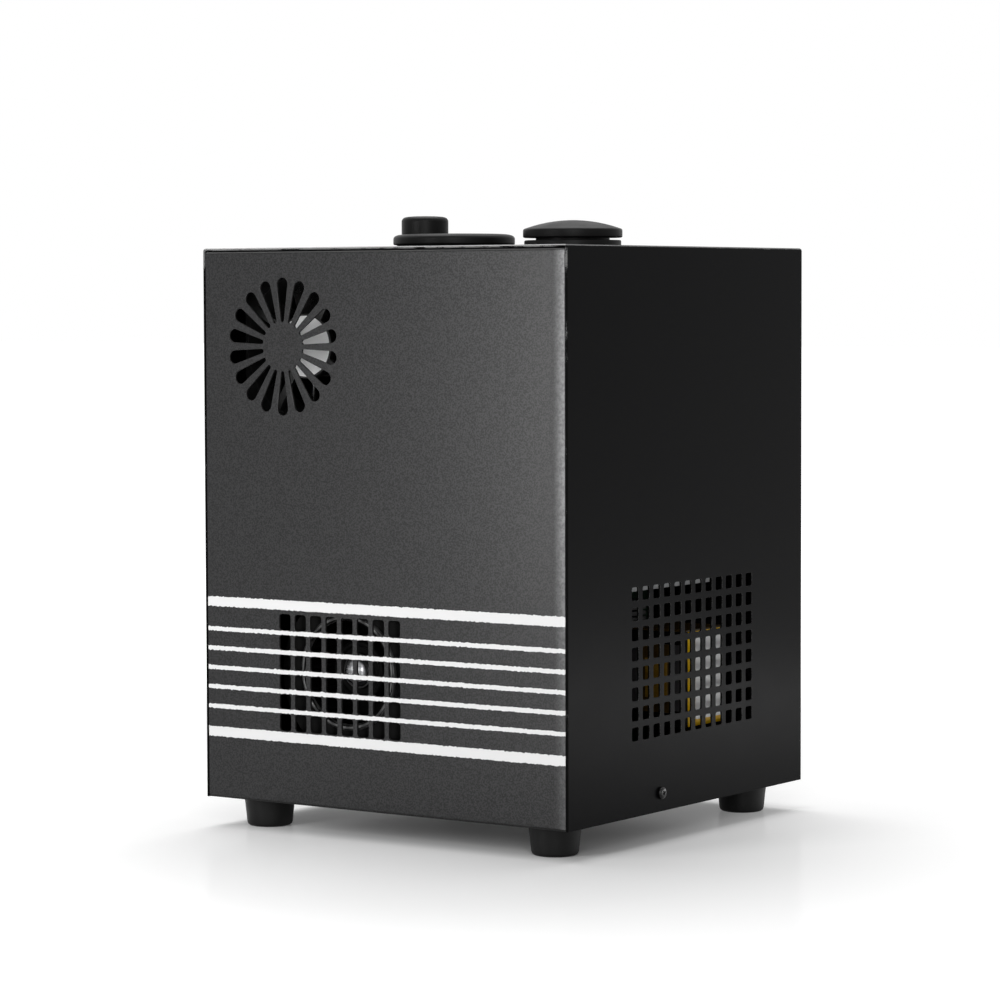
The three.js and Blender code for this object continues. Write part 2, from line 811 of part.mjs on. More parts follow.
const couplingLeft = feedLeft + fit;
const augerLeft = couplingLeft + couplingLength + seat;
const augerRight = nozzleX - chamberBore - fit;
function auger() {
  const turns = (augerRight - augerLeft - augerFlight) / augerPitch;
  const steps = Math.round(turns * augerStepsPerTurn);
  const root = augerShaftRadius / 2;
  const position = [];
  const index = [];
  for (let step = 0; step <= steps; step += 1) {
    const angle = step / steps * turns * 2 * Math.PI;
    const x = augerLeft + augerPitch * angle / (2 * Math.PI);
    const corners = [[root, 0], [augerRadius, 0], [augerRadius, augerFlight], [root, augerFlight]];
    for (const [radius, shift] of corners) {
      position.push(x + shift, radius * Math.cos(angle), feedHeight + radius * Math.sin(angle));
    }
    if (step > 0) {
      for (let side = 0; side < 4; side += 1) {
        const next = (side + 1) % 4;
        const [a, b, c, d] = [4 * step - 4 + side, 4 * step - 4 + next, 4 * step + next, 4 * step + side];
        index.push(a, b, c, a, c, d);
      }
    }
  }
  const last = 4 * steps;
  index.push(0, 2, 1, 0, 3, 2, last, last + 1, last + 2, last, last + 2, last + 3);
  const geometry = new THREE.BufferGeometry();
  geometry.setAttribute('position', new THREE.Float32BufferAttribute(position, 3));
  geometry.setAttribute('normal', new THREE.Float32BufferAttribute(position, 3));
  geometry.setAttribute('uv', new THREE.Float32BufferAttribute(position, 3));
  geometry.setIndex(index);
  return solid(geometry).add(rodX(augerShaftRadius, 0, feedHeight, augerLeft, augerRight, smallSteps));
}
piece('feed_screw', auger(), stainless);

const motorRight = feedLeft - seat;
piece('feed_coupling', turnedX([
  [0, motorRight - motorShaftReach],
  [motorShaftRadius, motorRight - motorShaftReach],
  [motorShaftRadius, couplingLeft],
  [couplingRadius, couplingLeft],
  [couplingRadius, couplingLeft + couplingLength],
  [0, couplingLeft + couplingLength],
  [0, motorRight - motorShaftReach],
], 0, feedHeight, smallSteps), zincSteel);

const gearboxLeft = motorRight - feedGearboxLength;
const shaftHole = motorShaftRadius + fit;
piece('feed_motor', turnedX([
  [shaftHole, motorRight],
  [feedGearboxRadius, motorRight],
  [feedGearboxRadius, gearboxLeft],
  [feedMotorRadius, gearboxLeft],
  [feedMotorRadius, gearboxLeft - feedMotorLength],
  [0, gearboxLeft - feedMotorLength],
  [0, motorRight - motorShaftReach - fit],
  [shaftHole, motorRight - motorShaftReach - fit],
  [shaftHole, motorRight],
], 0, feedHeight), zincSteel);

const feedStandLeft = hopperX + feedStandReach;
function feedStand() {
  const low = deckTop + seat;
  const high = feedLow - seat;
  const right = feedStandLeft + feedStandWidth;
  const half = housingHalf;
  return joined(
    box(feedStandLeft, feedStandLeft + feedStandSheet, -half, half, low, high),
    box(feedStandLeft, right, -half, half, low, low + feedStandSheet),
    box(feedStandLeft, right, -half, half, high - feedStandSheet, high),
  );
}
piece('feed_stand', feedStand(), zincSteel);

// Heating chamber with its air port and feed pad
function chamber() {
  const boreFloor = chamberBottom + chamberFoot + chamberFloor;
  const body = joined(
    rodZ(chamberRadius, nozzleX, 0, chamberBottom, chamberTop, largeSteps),
    rodZ(chamberFootRadius, nozzleX, 0, chamberBottom, chamberBottom + chamberFoot),
    rodY(airPortRadius, nozzleX, airPortHeight, -airPortReach, 0),
    box(
      feedRight + fit, nozzleX, -housingHalf, housingHalf,
      feedHeight - housingHalf, feedHeight + housingHalf,
    ),
  );
  return cut(
    body,
    rodZ(chamberBore, nozzleX, 0, boreFloor, chamberTop + overrun, largeSteps),
    rodY(airPortBore, nozzleX, airPortHeight, -airPortReach - overrun, 0),
    rodX(feedBore, 0, feedHeight, feedRight - overrun, nozzleX),
  );
}
piece('heating_chamber', chamber(), stainless);

const sleeveBore = chamberRadius + fit;
const sleeveLow = airPortTop + sleeveAbovePort;
const sleeveHigh = feedLow - sleeveBelowFeed;
piece('chamber_sleeve', turnedZ([
  [sleeveBore, sleeveLow],
  [sleeveBore + sleeveWall, sleeveLow],
  [sleeveBore + sleeveWall, sleeveHigh],
  [sleeveBore, sleeveHigh],
  [sleeveBore, sleeveLow],
], nozzleX, 0, largeSteps), ceramic);

// The coil is one unbroken tube: each ring of its skin is a step of the helix.
function coil() {
  const coilLow = airPortTop + coilAbovePort;
  const steps = Math.round(coilTurns * coilStepsPerTurn);
  const points = [];
  for (let step = 0; step <= steps; step += 1) {
    const angle = step / coilStepsPerTurn * 2 * Math.PI;
    const z = coilLow + coilPitch * step / coilStepsPerTurn;
    points.push(new THREE.Vector3(coilRadius * Math.cos(angle), coilRadius * Math.sin(angle), z));
  }
  const position = [];
  const index = [];
  points.forEach((point, step) => {
    const outward = new THREE.Vector3(point.x, point.y, 0).normalize();
    for (let side = 0; side < coilSides; side += 1) {
      const around = side / coilSides * 2 * Math.PI;
      const out = coilTube / 2 * Math.cos(around);
      const up = coilTube / 2 * Math.sin(around);
      position.push(nozzleX + point.x + outward.x * out, point.y + outward.y * out, point.z + up);
      if (step > 0) {
        const [a, b] = [coilSides * (step - 1) + side, coilSides * (step - 1) + (side + 1) % coilSides];
        const [c, d] = [coilSides + b, coilSides + a];
        index.push(a, b, c, a, c, d);
      }
    }
  });
  const last = coilSides * steps;
  for (let side = 1; side < coilSides - 1; side += 1) {
    index.push(0, side + 1, side, last, last + side, last + side + 1);
  }
  const geometry = new THREE.BufferGeometry();
  geometry.setAttribute('position', new THREE.Float32BufferAttribute(position, 3));
  geometry.setAttribute('normal', new THREE.Float32BufferAttribute(position, 3));
  geometry.setAttribute('uv', new THREE.Float32BufferAttribute(position, 3));
  geometry.setIndex(index);
  let least = Infinity;
  points.forEach((point, step) => {
    for (const other of points.slice(step + coilStepsPerTurn / 2)) {
      least = Math.min(least, point.distanceTo(other) - coilTube);
    }
  });
  console.log(`least gap between turns of the coil: ${least.toFixed(2)} mm`);
  return solid(geometry);
}
piece('induction_coil', coil(), copper);

// Nozzle tube, flange and cap
const nozzleTop = neckSeat + nozzleFlange;
const tubeStep = chamberTop + seat;
const nozzleTubeLow = chamberTop - nozzleSpigot;
piece('nozzle_tube', turnedZ([
  [nozzleBore, nozzleTop],
  [nozzleTubeRadius, nozzleTop],
  [nozzleTubeRadius, tubeStep],
  [chamberBore - fit, tubeStep],
  [chamberBore - fit, nozzleTubeLow],
  [chamberBore - coverSheet - fit, nozzleTubeLow],
  [chamberBore - coverSheet - fit, tubeStep + coverSheet],
  [nozzleBore, tubeStep + coverSheet],
  [nozzleBore, nozzleTop],
], nozzleX, 0, largeSteps), stainless);

const flangeBore = nozzleTubeRadius + fit;
piece('nozzle_flange', turnedZ([
  [flangeBore, neckSeat],
  [nozzleFlangeRadius, neckSeat],
  [nozzleFlangeRadius, nozzleTop],
  [flangeBore, nozzleTop],
  [flangeBore, neckSeat],
], nozzleX, 0, largeSteps), blackPlastic);

const capSeat = nozzleTop + seat;
const capLow = capSeat + capShoulder;
const capRimTop = capLow + capRim;
const capPlugRadius = nozzleBore - fit;
const domeRadius = (capRadius * capRadius + capDome * capDome) / (2 * capDome);
function capOutline() {
  const sweep = Math.asin(capRadius / domeRadius);
  const dome = [];
  for (let step = 0; step <= capDomeSteps; step += 1) {
    const angle = sweep * step / capDomeSteps;
    dome.push([domeRadius * Math.sin(angle), capRimTop + capDome - domeRadius * (1 - Math.cos(angle))]);
  }
  return [
    ...dome,
    [capRadius, capLow],
    [capShoulderRadius, capLow],
    [capShoulderRadius, capSeat],
    [capPlugRadius, capSeat],
    [capPlugRadius, capSeat - capPlugDepth],
    [capPlugRadius - capPlugWall, capSeat - capPlugDepth],
    [capPlugRadius - capPlugWall, capSeat],
    [0, capSeat],
    dome[0],
  ];
}
piece('nozzle_cap', turnedZ(capOutline(), nozzleX, 0, largeSteps), blackPlastic);

// Inner frame: deck on a left leg and a rear leg, with a short lip on the right
const blowerMotorFront = frontY + blowerSetback + blowerLip + blowerPlate + blowerDepth + 2 * seat;
const deckLeft = nozzleX - deckLeftReach;
const deckRight = rightX - deckFromRight;
const deckFront = blowerMotorFront + blowerMotorDepth + deckBehindMotor;
const rearLegRight = boardBracketX - rearLegGap;
function innerFrame() {
  const left = [deckLeft, deckLeft + frameSheet];
  const rear = [deckRear - frameSheet, deckRear];
  return joined(
    box(deckLeft, deckRight, deckFront, deckRear, deckHeight, deckTop),
    box(...left, deckFront, deckRear, baseTop, deckTop),
    box(deckLeft - frameFoot, deckLeft + frameSheet, deckFront, deckRear, baseTop, baseTop + frameSheet),
    box(deckLeft, rearLegRight, ...rear, baseTop, deckTop),
    box(deckLeft, rearLegRight, rear[0], deckRear + frameFoot, baseTop, baseTop + frameSheet),
    box(deckRight - frameSheet, deckRight, deckFront, deckRear, deckHeight - deckLip, deckTop),
  );
}
piece('inner_frame', innerFrame(), zincSteel);

// Blower: scroll case, inlet plate, impeller, nut, motor and bracket
const lipFront = frontY + blowerSetback;
const plateFront = lipFront + blowerLip;
const plateBack = plateFront + blowerPlate;
const scrollFront = plateBack + seat;
const scrollBack = scrollFront + blowerDepth;
const outletHigh = blowerHeight + outletTop;
function scrollOutline(inset, top) {
  const shape = new THREE.Shape();
  for (let step = 0; step <= scrollSteps; step += 1) {
    const share = step / scrollSteps;
    const angle = THREE.MathUtils.degToRad(scrollStartAngle + (scrollEndAngle - scrollStartAngle) * share);
    const radius = scrollStartRadius + (scrollEndRadius - scrollStartRadius) * share - inset;
    const [x, z] = [blowerX + radius * Math.cos(angle), blowerHeight + radius * Math.sin(angle)];
    if (step === 0) {
      shape.moveTo(x + inset, z);
    } else {
      shape.lineTo(x, z);
    }
  }
  const start = THREE.MathUtils.degToRad(scrollStartAngle);
  const tongue = blowerX + (scrollStartRadius - inset) * Math.cos(start) + inset;
  shape.lineTo(blowerX + scrollEndRadius - inset, top);
  shape.lineTo(tongue, top);
  return shape;
}

function scroll() {
  const outer = alongY(scrollOutline(0, outletHigh), scrollFront, scrollBack);
  const hollow = alongY(
    scrollOutline(blowerWall, outletHigh + overrun), scrollFront - overrun, scrollBack - blowerWall,
  );
  const through = [scrollFront, scrollBack + overrun];
  const hole = rodY(blowerShaftRadius + 2 * fit, blowerX, blowerHeight, ...through, smallSteps);
  return cut(outer, hollow, hole);
}
piece('blower_scroll', scroll(), blackPlastic);

function inletPlate() {
  const plate = alongY(scrollOutline(0, outletHigh), plateFront, plateBack);
  const lip = rodY(blowerLipRadius, blowerX, blowerHeight, lipFront, plateBack, largeSteps);
  const inlet = [blowerX, blowerHeight, lipFront - overrun, plateBack + overrun, largeSteps];
  return cut(joined(plate, lip), rodY(blowerInletRadius, ...inlet));
}
piece('blower_inlet_plate', inletPlate(), blackPlastic);

const impellerFront = scrollFront + impellerGap;
const impellerBack = scrollBack - blowerWall - impellerGap;
const hubFront = impellerBack - impellerHubDepth;
function impeller() {
  const axis = [blowerX, blowerHeight];
  const discFront = impellerBack - impellerRing;
  const shaftBack = blowerMotorFront + blowerMotorDepth / 2;
  const ring = cut(
    rodY(impellerRadius, ...axis, impellerFront, impellerFront + impellerRing, largeSteps),
    rodY(impellerInner, ...axis, impellerFront - overrun, impellerFront + overrun, largeSteps),
  );
  const disc = rodY(impellerRadius, ...axis, discFront, impellerBack, largeSteps);
  const hub = rodY(impellerHubRadius, ...axis, hubFront, impellerBack);
  const shaft = rodY(blowerShaftRadius, ...axis, discFront, shaftBack, smallSteps);
  let whole = joined(disc, ring, hub, shaft);
  const middle = (impellerInner + impellerRadius) / 2;
  for (let blade = 0; blade < impellerBlades; blade += 1) {
    const long = impellerRadius - impellerInner - impellerBlade;
    const geometry = new THREE.BoxGeometry(long, impellerBack - impellerFront - impellerRing, impellerBlade);
    geometry.translate(middle, (impellerFront + impellerBack) / 2, 0);
    geometry.rotateY(blade / impellerBlades * 2 * Math.PI);
    geometry.translate(blowerX, 0, blowerHeight);
    whole = whole.add(solid(geometry));
  }
  return whole;
}
piece('blower_impeller', impeller(), blackPlastic);

function domeNut() {
  const outline = [[nutRadius, hubFront - seat]];
  for (let step = 0; step <= nutSteps; step += 1) {
    const angle = step / nutSteps * Math.PI / 2;
    outline.push([nutRadius * Math.cos(angle), hubFront - seat - nutDepth * (1 + Math.sin(angle)) / 2]);
  }
  return turnedY([[0, hubFront - seat], ...outline, [0, hubFront - seat]], blowerX, blowerHeight, roundSteps);
}
piece('blower_nut', domeNut(), stainless);

piece('blower_motor', turnedY([
  [blowerShaftRadius + fit, blowerMotorFront],
  [blowerMotorRadius, blowerMotorFront],
  [blowerMotorRadius, blowerMotorFront + blowerMotorDepth],
  [0, blowerMotorFront + blowerMotorDepth],
  [0, blowerMotorFront + blowerMotorDepth / 2 + fit],
  [blowerShaftRadius + fit, blowerMotorFront + blowerMotorDepth / 2 + fit],
  [blowerShaftRadius + fit, blowerMotorFront],
], blowerX, blowerHeight), zincSteel);

function blowerBracket() {
  const front = scrollBack + seat;
  const across = [blowerBracketLeft, blowerBracketRight];
  const plate = box(...across, front, front + bracketSheet, baseTop, blowerBracketTop);
  const sole = box(...across, front, front + blowerBracketFoot, baseTop, baseTop + bracketSheet);
  const through = [front - overrun, front + bracketSheet + overrun];
  const hole = rodY(blowerMotorRadius + fit, blowerX, blowerHeight, ...through);
  return joined(plate, sole).subtract(hole);
}
piece('blower_bracket', blowerBracket(), zincSteel);

// Air duct: a collar over the blower outlet and a bent pipe to the chamber's air port
function airDuct() {
  const start = THREE.MathUtils.degToRad(scrollStartAngle);
  const outletLeft = blowerX + scrollStartRadius * Math.cos(start);
  const outletRight = blowerX + scrollEndRadius;
  const middleX = (outletLeft + outletRight) / 2;
  const middleY = (scrollFront + scrollBack) / 2;
  const low = outletHigh + seat;
  const high = low + ductCollar;
  const port = -airPortReach + ductGrip;
  const route = new THREE.CubicBezierCurve3(
    new THREE.Vector3(middleX, middleY, high - overrun),
    new THREE.Vector3(middleX, middleY, high + ductRise),
    new THREE.Vector3(nozzleX, port - ductRun, airPortHeight),
    new THREE.Vector3(nozzleX, port, airPortHeight),
  );
  const pipe = (radius, curve) => {
    const ring = new THREE.Shape();
    ring.absarc(0, 0, radius, 0, Math.PI * 2);
    const settings = { steps: ductSteps, extrudePath: curve, curveSegments: ductSides, bevelEnabled: false };
    return solid(new THREE.ExtrudeGeometry(ring, settings));
  };
  const collar = box(outletLeft, outletRight, scrollFront, scrollBack, low, high);
  const bore = pipe(ductBore, route);
  const mouth = rodZ(ductBore, middleX, middleY, low - overrun, high);
  const grip = rodY(airPortRadius + fit, nozzleX, airPortHeight, port - ductGrip - overrun, port + overrun);
  return cut(joined(collar, pipe(ductRadius, route)), bore, mouth, grip);
}
piece('air_duct', airDuct(), blackPlastic);

// Cooling fan: frame with hub plate and struts, and the rotor
function fanFrame() {
  const outline = roundedRectangle(ventX, ventHeight, fanSize, fanSize, fanCorner);
  const frame = alongY(outline, fanFront, fanBack)
    .subtract(rodY(fanBore, ventX, ventHeight, fanFront - overrun, fanBack + overrun, largeSteps));
  let whole = frame.add(rodY(fanHubRadius, ventX, ventHeight, fanFront, fanFront + fanHubDepth));
  for (let strut = 0; strut < fanStruts; strut += 1) {
    const reach = fanBore + fit - fanHubRadius + 2 * fit;
    const geometry = new THREE.BoxGeometry(reach, fanHubDepth, fanStrut);
    geometry.translate(fanHubRadius - fit + reach / 2, fanFront + fanHubDepth / 2, 0);
    geometry.rotateY(THREE.MathUtils.degToRad(fanStrutAngle) + strut / fanStruts * 2 * Math.PI);
    geometry.translate(ventX, 0, ventHeight);
    whole = whole.add(solid(geometry));
  }
  for (const [x, z] of fanHolePlaces()) {
    whole = whole.subtract(rodY(fanHoleRadius, x, z, fanFront - overrun, fanBack + overrun, smallSteps));
  }
  return whole;
}
piece('fan_frame', fanFrame(), blackPlastic);

function fanRotor() {
  const front = fanFront + fanHubDepth + fit;
  const back = fanBack - fit;
  let whole = rodY(rotorHubRadius, ventX, ventHeight, front, back);
  const reach = rotorRadius - rotorHubRadius + rotorBlade;
  for (let blade = 0; blade < rotorBlades; blade += 1) {
    const geometry = new THREE.BoxGeometry(reach, rotorBlade, rotorChord);
    geometry.rotateX(THREE.MathUtils.degToRad(rotorPitch));
    geometry.translate(rotorRadius - reach / 2, (front + back) / 2, 0);
    geometry.rotateY(blade / rotorBlades * 2 * Math.PI);
    geometry.translate(ventX, 0, ventHeight);
    whole = whole.add(solid(geometry));
  }
  return whole;
}
piece('fan_rotor', fanRotor(), blackPlastic);

// Power board on its bracket, with the parts that face the side grille
const boardLeft = boardBracketX + bracketSheet + boardStandoff + seat;
const transformerFront = frontY + transformerFromFront;
const boardFace = boardLeft + boardSheet + seat;
function boardBracket() {
  const ends = [boardFront, boardRear];
  const right = boardBracketX + bracketSheet;
  let whole = joined(
    box(boardBracketX, right, ...ends, baseTop, boardHigh),
    box(boardBracketX, right + boardBracketFoot, ...ends, baseTop, baseTop + bracketSheet),
  );
  for (const y of [boardFront + boardStandoffInset, boardRear - boardStandoffInset]) {
    for (const z of [boardLow + boardStandoffInset, boardHigh - boardStandoffInset]) {
      whole = whole.add(rodX(boardStandoffRadius, y, z, boardBracketX, right + boardStandoff, smallSteps));
    }
  }
  return whole;
}
piece('board_bracket', boardBracket(), zincSteel);
piece('power_board', box(
  boardLeft, boardLeft + boardSheet,
  boardFront, boardRear,
  boardLow, boardHigh,
), greenBoard);

function transformer() {
  const ends = [transformerFront, transformerFront + transformerLength];
  const core = [transformerLow + transformerCoreInset, transformerHigh - transformerCoreInset];
  const proud = transformerCoreProud;
  const transformerFace = rightX - transformerFromRight;
  const winding = box(boardFace + proud, transformerFace, ...ends, transformerLow, transformerHigh);
  const yoke = box(boardFace, transformerFace - proud, ends[0] - proud, ends[1] + proud, ...core);
  return joined(winding, yoke);
}
piece('transformer', transformer(), yellowTape);

const filmCapacitorFront = frontY + filmCapacitorFromFront;
piece('film_capacitor', box(
  boardFace, boardFace + filmCapacitorDepth,
  filmCapacitorFront, filmCapacitorFront + filmCapacitorLength,
  filmCapacitorLow, filmCapacitorHigh,
), brownFilm);

bulkCapacitorHeights.forEach((height, index) => {
  const end = boardFace + bulkCapacitorLength;
  piece(`bulk_capacitor_${index + 1}`, turnedX([
    [0, boardFace],
    [bulkCapacitorRadius, boardFace],
    [bulkCapacitorRadius, end - bulkCapacitorEdge],
    [bulkCapacitorRadius - bulkCapacitorEdge, end],
    [0, end],
    [0, boardFace],
  ], frontY + bulkCapacitorFromFront, height), blackPlastic);
});

function heatSink() {
  const heatSinkFront = frontY + heatSinkFromFront;
  const heatSinkHigh = deckHeight - heatSinkBelowDeck;
  const heatSinkLow = heatSinkHigh - heatSinkTall;
  const along = [heatSinkFront, heatSinkFront + heatSinkLength];
  let whole = box(boardFace, boardFace + heatSinkFin, ...along, heatSinkLow, heatSinkHigh);
  const pitch = (heatSinkHigh - heatSinkLow - heatSinkFin) / (heatSinkFins - 1);
  for (let fin = 0; fin < heatSinkFins; fin += 1) {
    const z = heatSinkLow + fin * pitch;
    whole = whole.add(box(boardFace, boardFace + heatSinkDepth, ...along, z, z + heatSinkFin));
  }
  return whole;
}
piece('heat_sink', heatSink(), aluminium);

// Rear panel with the display, buttons, switch and sockets
const displayCentre = cabinetHeight - displayFromTop;
const displayBoardCentre = cabinetHeight - displayBoardFromTop;
const buttonHeight = cabinetHeight - buttonFromTop;
const switchX = leftX + switchFromLeft;
const inletX = leftX + inletFromLeft;
const dmxInputX = rightX - dmxInputFromRight;
const dmxOutputX = rightX - dmxOutputFromRight;
function buttonPlaces() {
  return Array.from({ length: buttonCount }, (_, index) => (index - (buttonCount - 1) / 2) * buttonPitch);
}

function displayStudPlaces() {
  const x = displayBoardWidth / 2 - displayStudInset;
  const z = displayBoardHeight / 2 - displayStudInset;
  return [[-x, -z], [x, -z], [-x, z], [x, z]].map(([dx, dz]) => [dx, displayBoardCentre + dz]);
}

const studFront = rearPanelFront - displayBoardStandoff;
function rearPanel() {
  const through = [rearPanelFront - overrun, rearPanelBack + overrun];
  const window = (x, z, width, height) => {
    const [halfWidth, halfHeight] = [width / 2 + fit, height / 2 + fit];
    return box(x - halfWidth, x + halfWidth, ...through, z - halfHeight, z + halfHeight);
  };
  let sheet = box(-panelHalf, panelHalf, rearPanelFront, rearPanelBack, 0, panelTop);
  for (const [x, z] of displayStudPlaces()) {
    sheet = sheet.add(rodY(displayStudRadius, x, z, studFront, rearPanelFront + panelSheet / 2, smallSteps));
  }
  const round = (radius, x, z, steps) => rodY(radius + fit, x, z, ...through, steps);
  sheet = cut(
    sheet,
    window(0, displayCentre, displayWidth, displayHeight),
    window(switchX, switchHeight, switchBodyWidth, switchBodyTall),
    window(inletX, inletHeight, inletBodyWidth, inletBodyTall),
    round(dmxBodyRadius, dmxInputX, dmxHeight, roundSteps),
    round(dmxBodyRadius, dmxOutputX, dmxHeight, roundSteps),
  );
  for (const x of buttonPlaces()) {
    sheet = sheet.subtract(round(buttonRadius, x, buttonHeight, roundSteps));
  }
  for (const [, x] of rearScrewPlaces()) {
    sheet = sheet.subtract(round(coverScrewRadius, x, coverScrewHeight, smallSteps));
  }
  return sheet;
}
piece('rear_panel', rearPanel(), greyPaint);

// The display board carries one small tact switch behind each button.
const displayBoardBack = studFront - seat;
function displayBoard() {
  const low = displayBoardCentre - displayBoardHeight / 2;
  const high = low + displayBoardHeight;
  const front = displayBoardBack - displayBoardSheet;
  let whole = box(-displayBoardWidth / 2, displayBoardWidth / 2, front, displayBoardBack, low, high);
  const half = buttonTactSize / 2;
  for (const x of buttonPlaces()) {
    const height = [buttonHeight - half, buttonHeight + half];
    whole = whole.add(box(x - half, x + half, front, displayBoardBack + buttonTact, ...height));
  }
  return whole;
}
piece('display_board', displayBoard(), greenBoard);

piece('display_window', box(
  -displayWidth / 2, displayWidth / 2,
  displayBoardBack + seat, rearPanelBack + displayProud,
  displayCentre - displayHeight / 2, displayCentre + displayHeight / 2,
), darkGlass);

buttonPlaces().forEach((x, index) => {
  const collarBack = rearPanelFront - seat;
  const top = rearPanelBack + buttonProud;
  const tail = displayBoardBack + buttonTact + buttonTravel + fit;
  piece(`menu_button_${index + 1}`, turnedY([
    [0, tail],
    [buttonRadius / 2, tail],
    [buttonRadius / 2, collarBack - buttonCollar],
    [buttonCollarRadius, collarBack - buttonCollar],
    [buttonCollarRadius, collarBack],
    [buttonRadius, collarBack],
    [buttonRadius, top - buttonEdge],
    [buttonRadius - buttonEdge, top],
    [0, top],
    [0, tail],
  ], x, buttonHeight, smallSteps), blackPlastic);
});

// Rocker switch: the rocker turns on two short pins just inside the panel
const rockerY = rearPanelBack - rockerNose;
const rockerHalf = switchBodyWidth / 2 - switchWall - fit;
function switchFrame() {
  const pinEnd = rockerHalf + rockerPinReach + fit;
  const bezel = [rearPanelBack + seat, rearPanelBack + seat + switchBezel];
  const body = [rearPanelBack + seat - switchBodyDepth, rearPanelBack + seat + overrun / 2];
  const centred = (width, height, y) => box(
    switchX - width / 2, switchX + width / 2, ...y, switchHeight - height / 2, switchHeight + height / 2,
  );
  const hollow = [rearPanelBack - rockerDepth - switchWall, bezel[1] + overrun];
  return cut(
    joined(centred(switchWidth, switchTall, bezel), centred(switchBodyWidth, switchBodyTall, body)),
    centred(switchBodyWidth - 2 * switchWall, switchBodyTall - 2 * switchWall, hollow),
    rodX(rockerPinRadius + fit, rockerY, switchHeight, switchX - pinEnd, switchX + pinEnd, smallSteps),
  );
}
piece('switch_frame', switchFrame(), blackPlastic);
function rocker() {
  const half = switchBodyTall / 2 - switchWall - 2 * fit;
  const tip = half - rockerNose;
  const face = rearPanelBack + seat + switchBezel + rockerProud;
  const side = new THREE.Shape();
  side.moveTo(face - rockerNose, switchHeight);
  side.lineTo(face, switchHeight + tip);
  side.lineTo(rockerY, switchHeight + tip);
  side.lineTo(rockerY - rockerDepth / 2, switchHeight);
  side.lineTo(rockerY, switchHeight - tip);
  side.lineTo(face, switchHeight - tip);
  const pinHalf = rockerHalf + rockerPinReach;
  const pins = rodX(rockerPinRadius, rockerY, switchHeight, switchX - pinHalf, switchX + pinHalf, smallSteps);
  return alongX(side, switchX - rockerHalf, switchX + rockerHalf)
    .add(pins)
    .translate([0, -rockerY, -switchHeight])
    .rotate([rockerTilt, 0, 0])
    .translate([0, rockerY, switchHeight]);
}
piece('switch_rocker', rocker(), blackPlastic);

// Power inlet with three blades
function powerInlet() {
  const outside = rearPanelBack + seat;
  const face = outside + inletFlange;
  const centred = (width, height, y0, y1) => box(
    inletX - width / 2, inletX + width / 2, y0, y1, inletHeight - height / 2, inletHeight + height / 2,
  );
  const cavityFloor = face - inletCavityDepth;
  let whole = cut(
    joined(
      centred(inletFlangeWidth, inletFlangeTall, outside, face),
      centred(inletBodyWidth, inletBodyTall, face - inletBodyDepth, outside + inletFlange / 2),
    ),
    centred(inletCavityWidth, inletCavityTall, cavityFloor, face + overrun),
  );
  const rise = inletPinRise / 2;
  const blades = [[-inletPinSpread, -rise], [inletPinSpread, -rise], [0, rise]];
  for (const [x, z] of blades) {
    const low = inletHeight + z - inletPinTall / 2;
    whole = whole.add(box(
      inletX + x - inletPinWidth / 2, inletX + x + inletPinWidth / 2,
      cavityFloor - overrun, cavityFloor + inletPinLength, low, low + inletPinTall,
    ));
  }
  return whole;
}
piece('power_inlet', powerInlet(), blackPlastic);

// Signal sockets: the input has pins in a deep round well, the output has three small bores
function signalSocket(x, holdsPins) {
  const outside = rearPanelBack + seat;
  const face = outside + dmxFlange;
  const flange = box(
    x - dmxFlangeWidth / 2, x + dmxFlangeWidth / 2, outside, face,
    dmxHeight - dmxFlangeTall / 2, dmxHeight + dmxFlangeTall / 2,
  );
  let whole = joined(flange, rodY(dmxBodyRadius, x, dmxHeight, face - dmxBodyDepth, outside + dmxFlange / 2));
  const floor = face - dmxCavityDepth;
  if (holdsPins) {
    whole = whole.subtract(rodY(dmxCavityRadius, x, dmxHeight, floor, face + overrun));
  }
  for (let pin = 0; pin < dmxPins; pin += 1) {
    const angle = THREE.MathUtils.degToRad(dmxPinTurn) + pin / dmxPins * 2 * Math.PI;
    const place = [x + dmxPinCircle * Math.cos(angle), dmxHeight + dmxPinCircle * Math.sin(angle)];
    if (holdsPins) {
      whole = whole.add(rodY(dmxPinRadius, ...place, floor - overrun, floor + dmxPinLength, smallSteps));
    } else {
      whole = whole.subtract(rodY(dmxPinRadius, ...place, floor, face + overrun, smallSteps));
    }
  }
  return whole;
}
piece('dmx_input', signalSocket(dmxInputX, true), blackPlastic);
piece('dmx_output', signalSocket(dmxOutputX, false), blackPlastic);

const part = new THREE.Group();
part.add(machine);

export default part;
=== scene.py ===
# %% [markdown]
# # Dressing a cold spark machine
#
# The machine is a small sheet metal cabinet that feeds metal granules into a heated chamber and blows
# cold sparks out of its top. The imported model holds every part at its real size. This lesson adds what a
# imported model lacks: rounded rims, printed stripes, paint that catches the light, and the small things
# that show through the grilles. Blender works in metres here, and MM turns millimetres into them.

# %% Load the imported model
import math

import bpy
from mathutils import Matrix, Vector


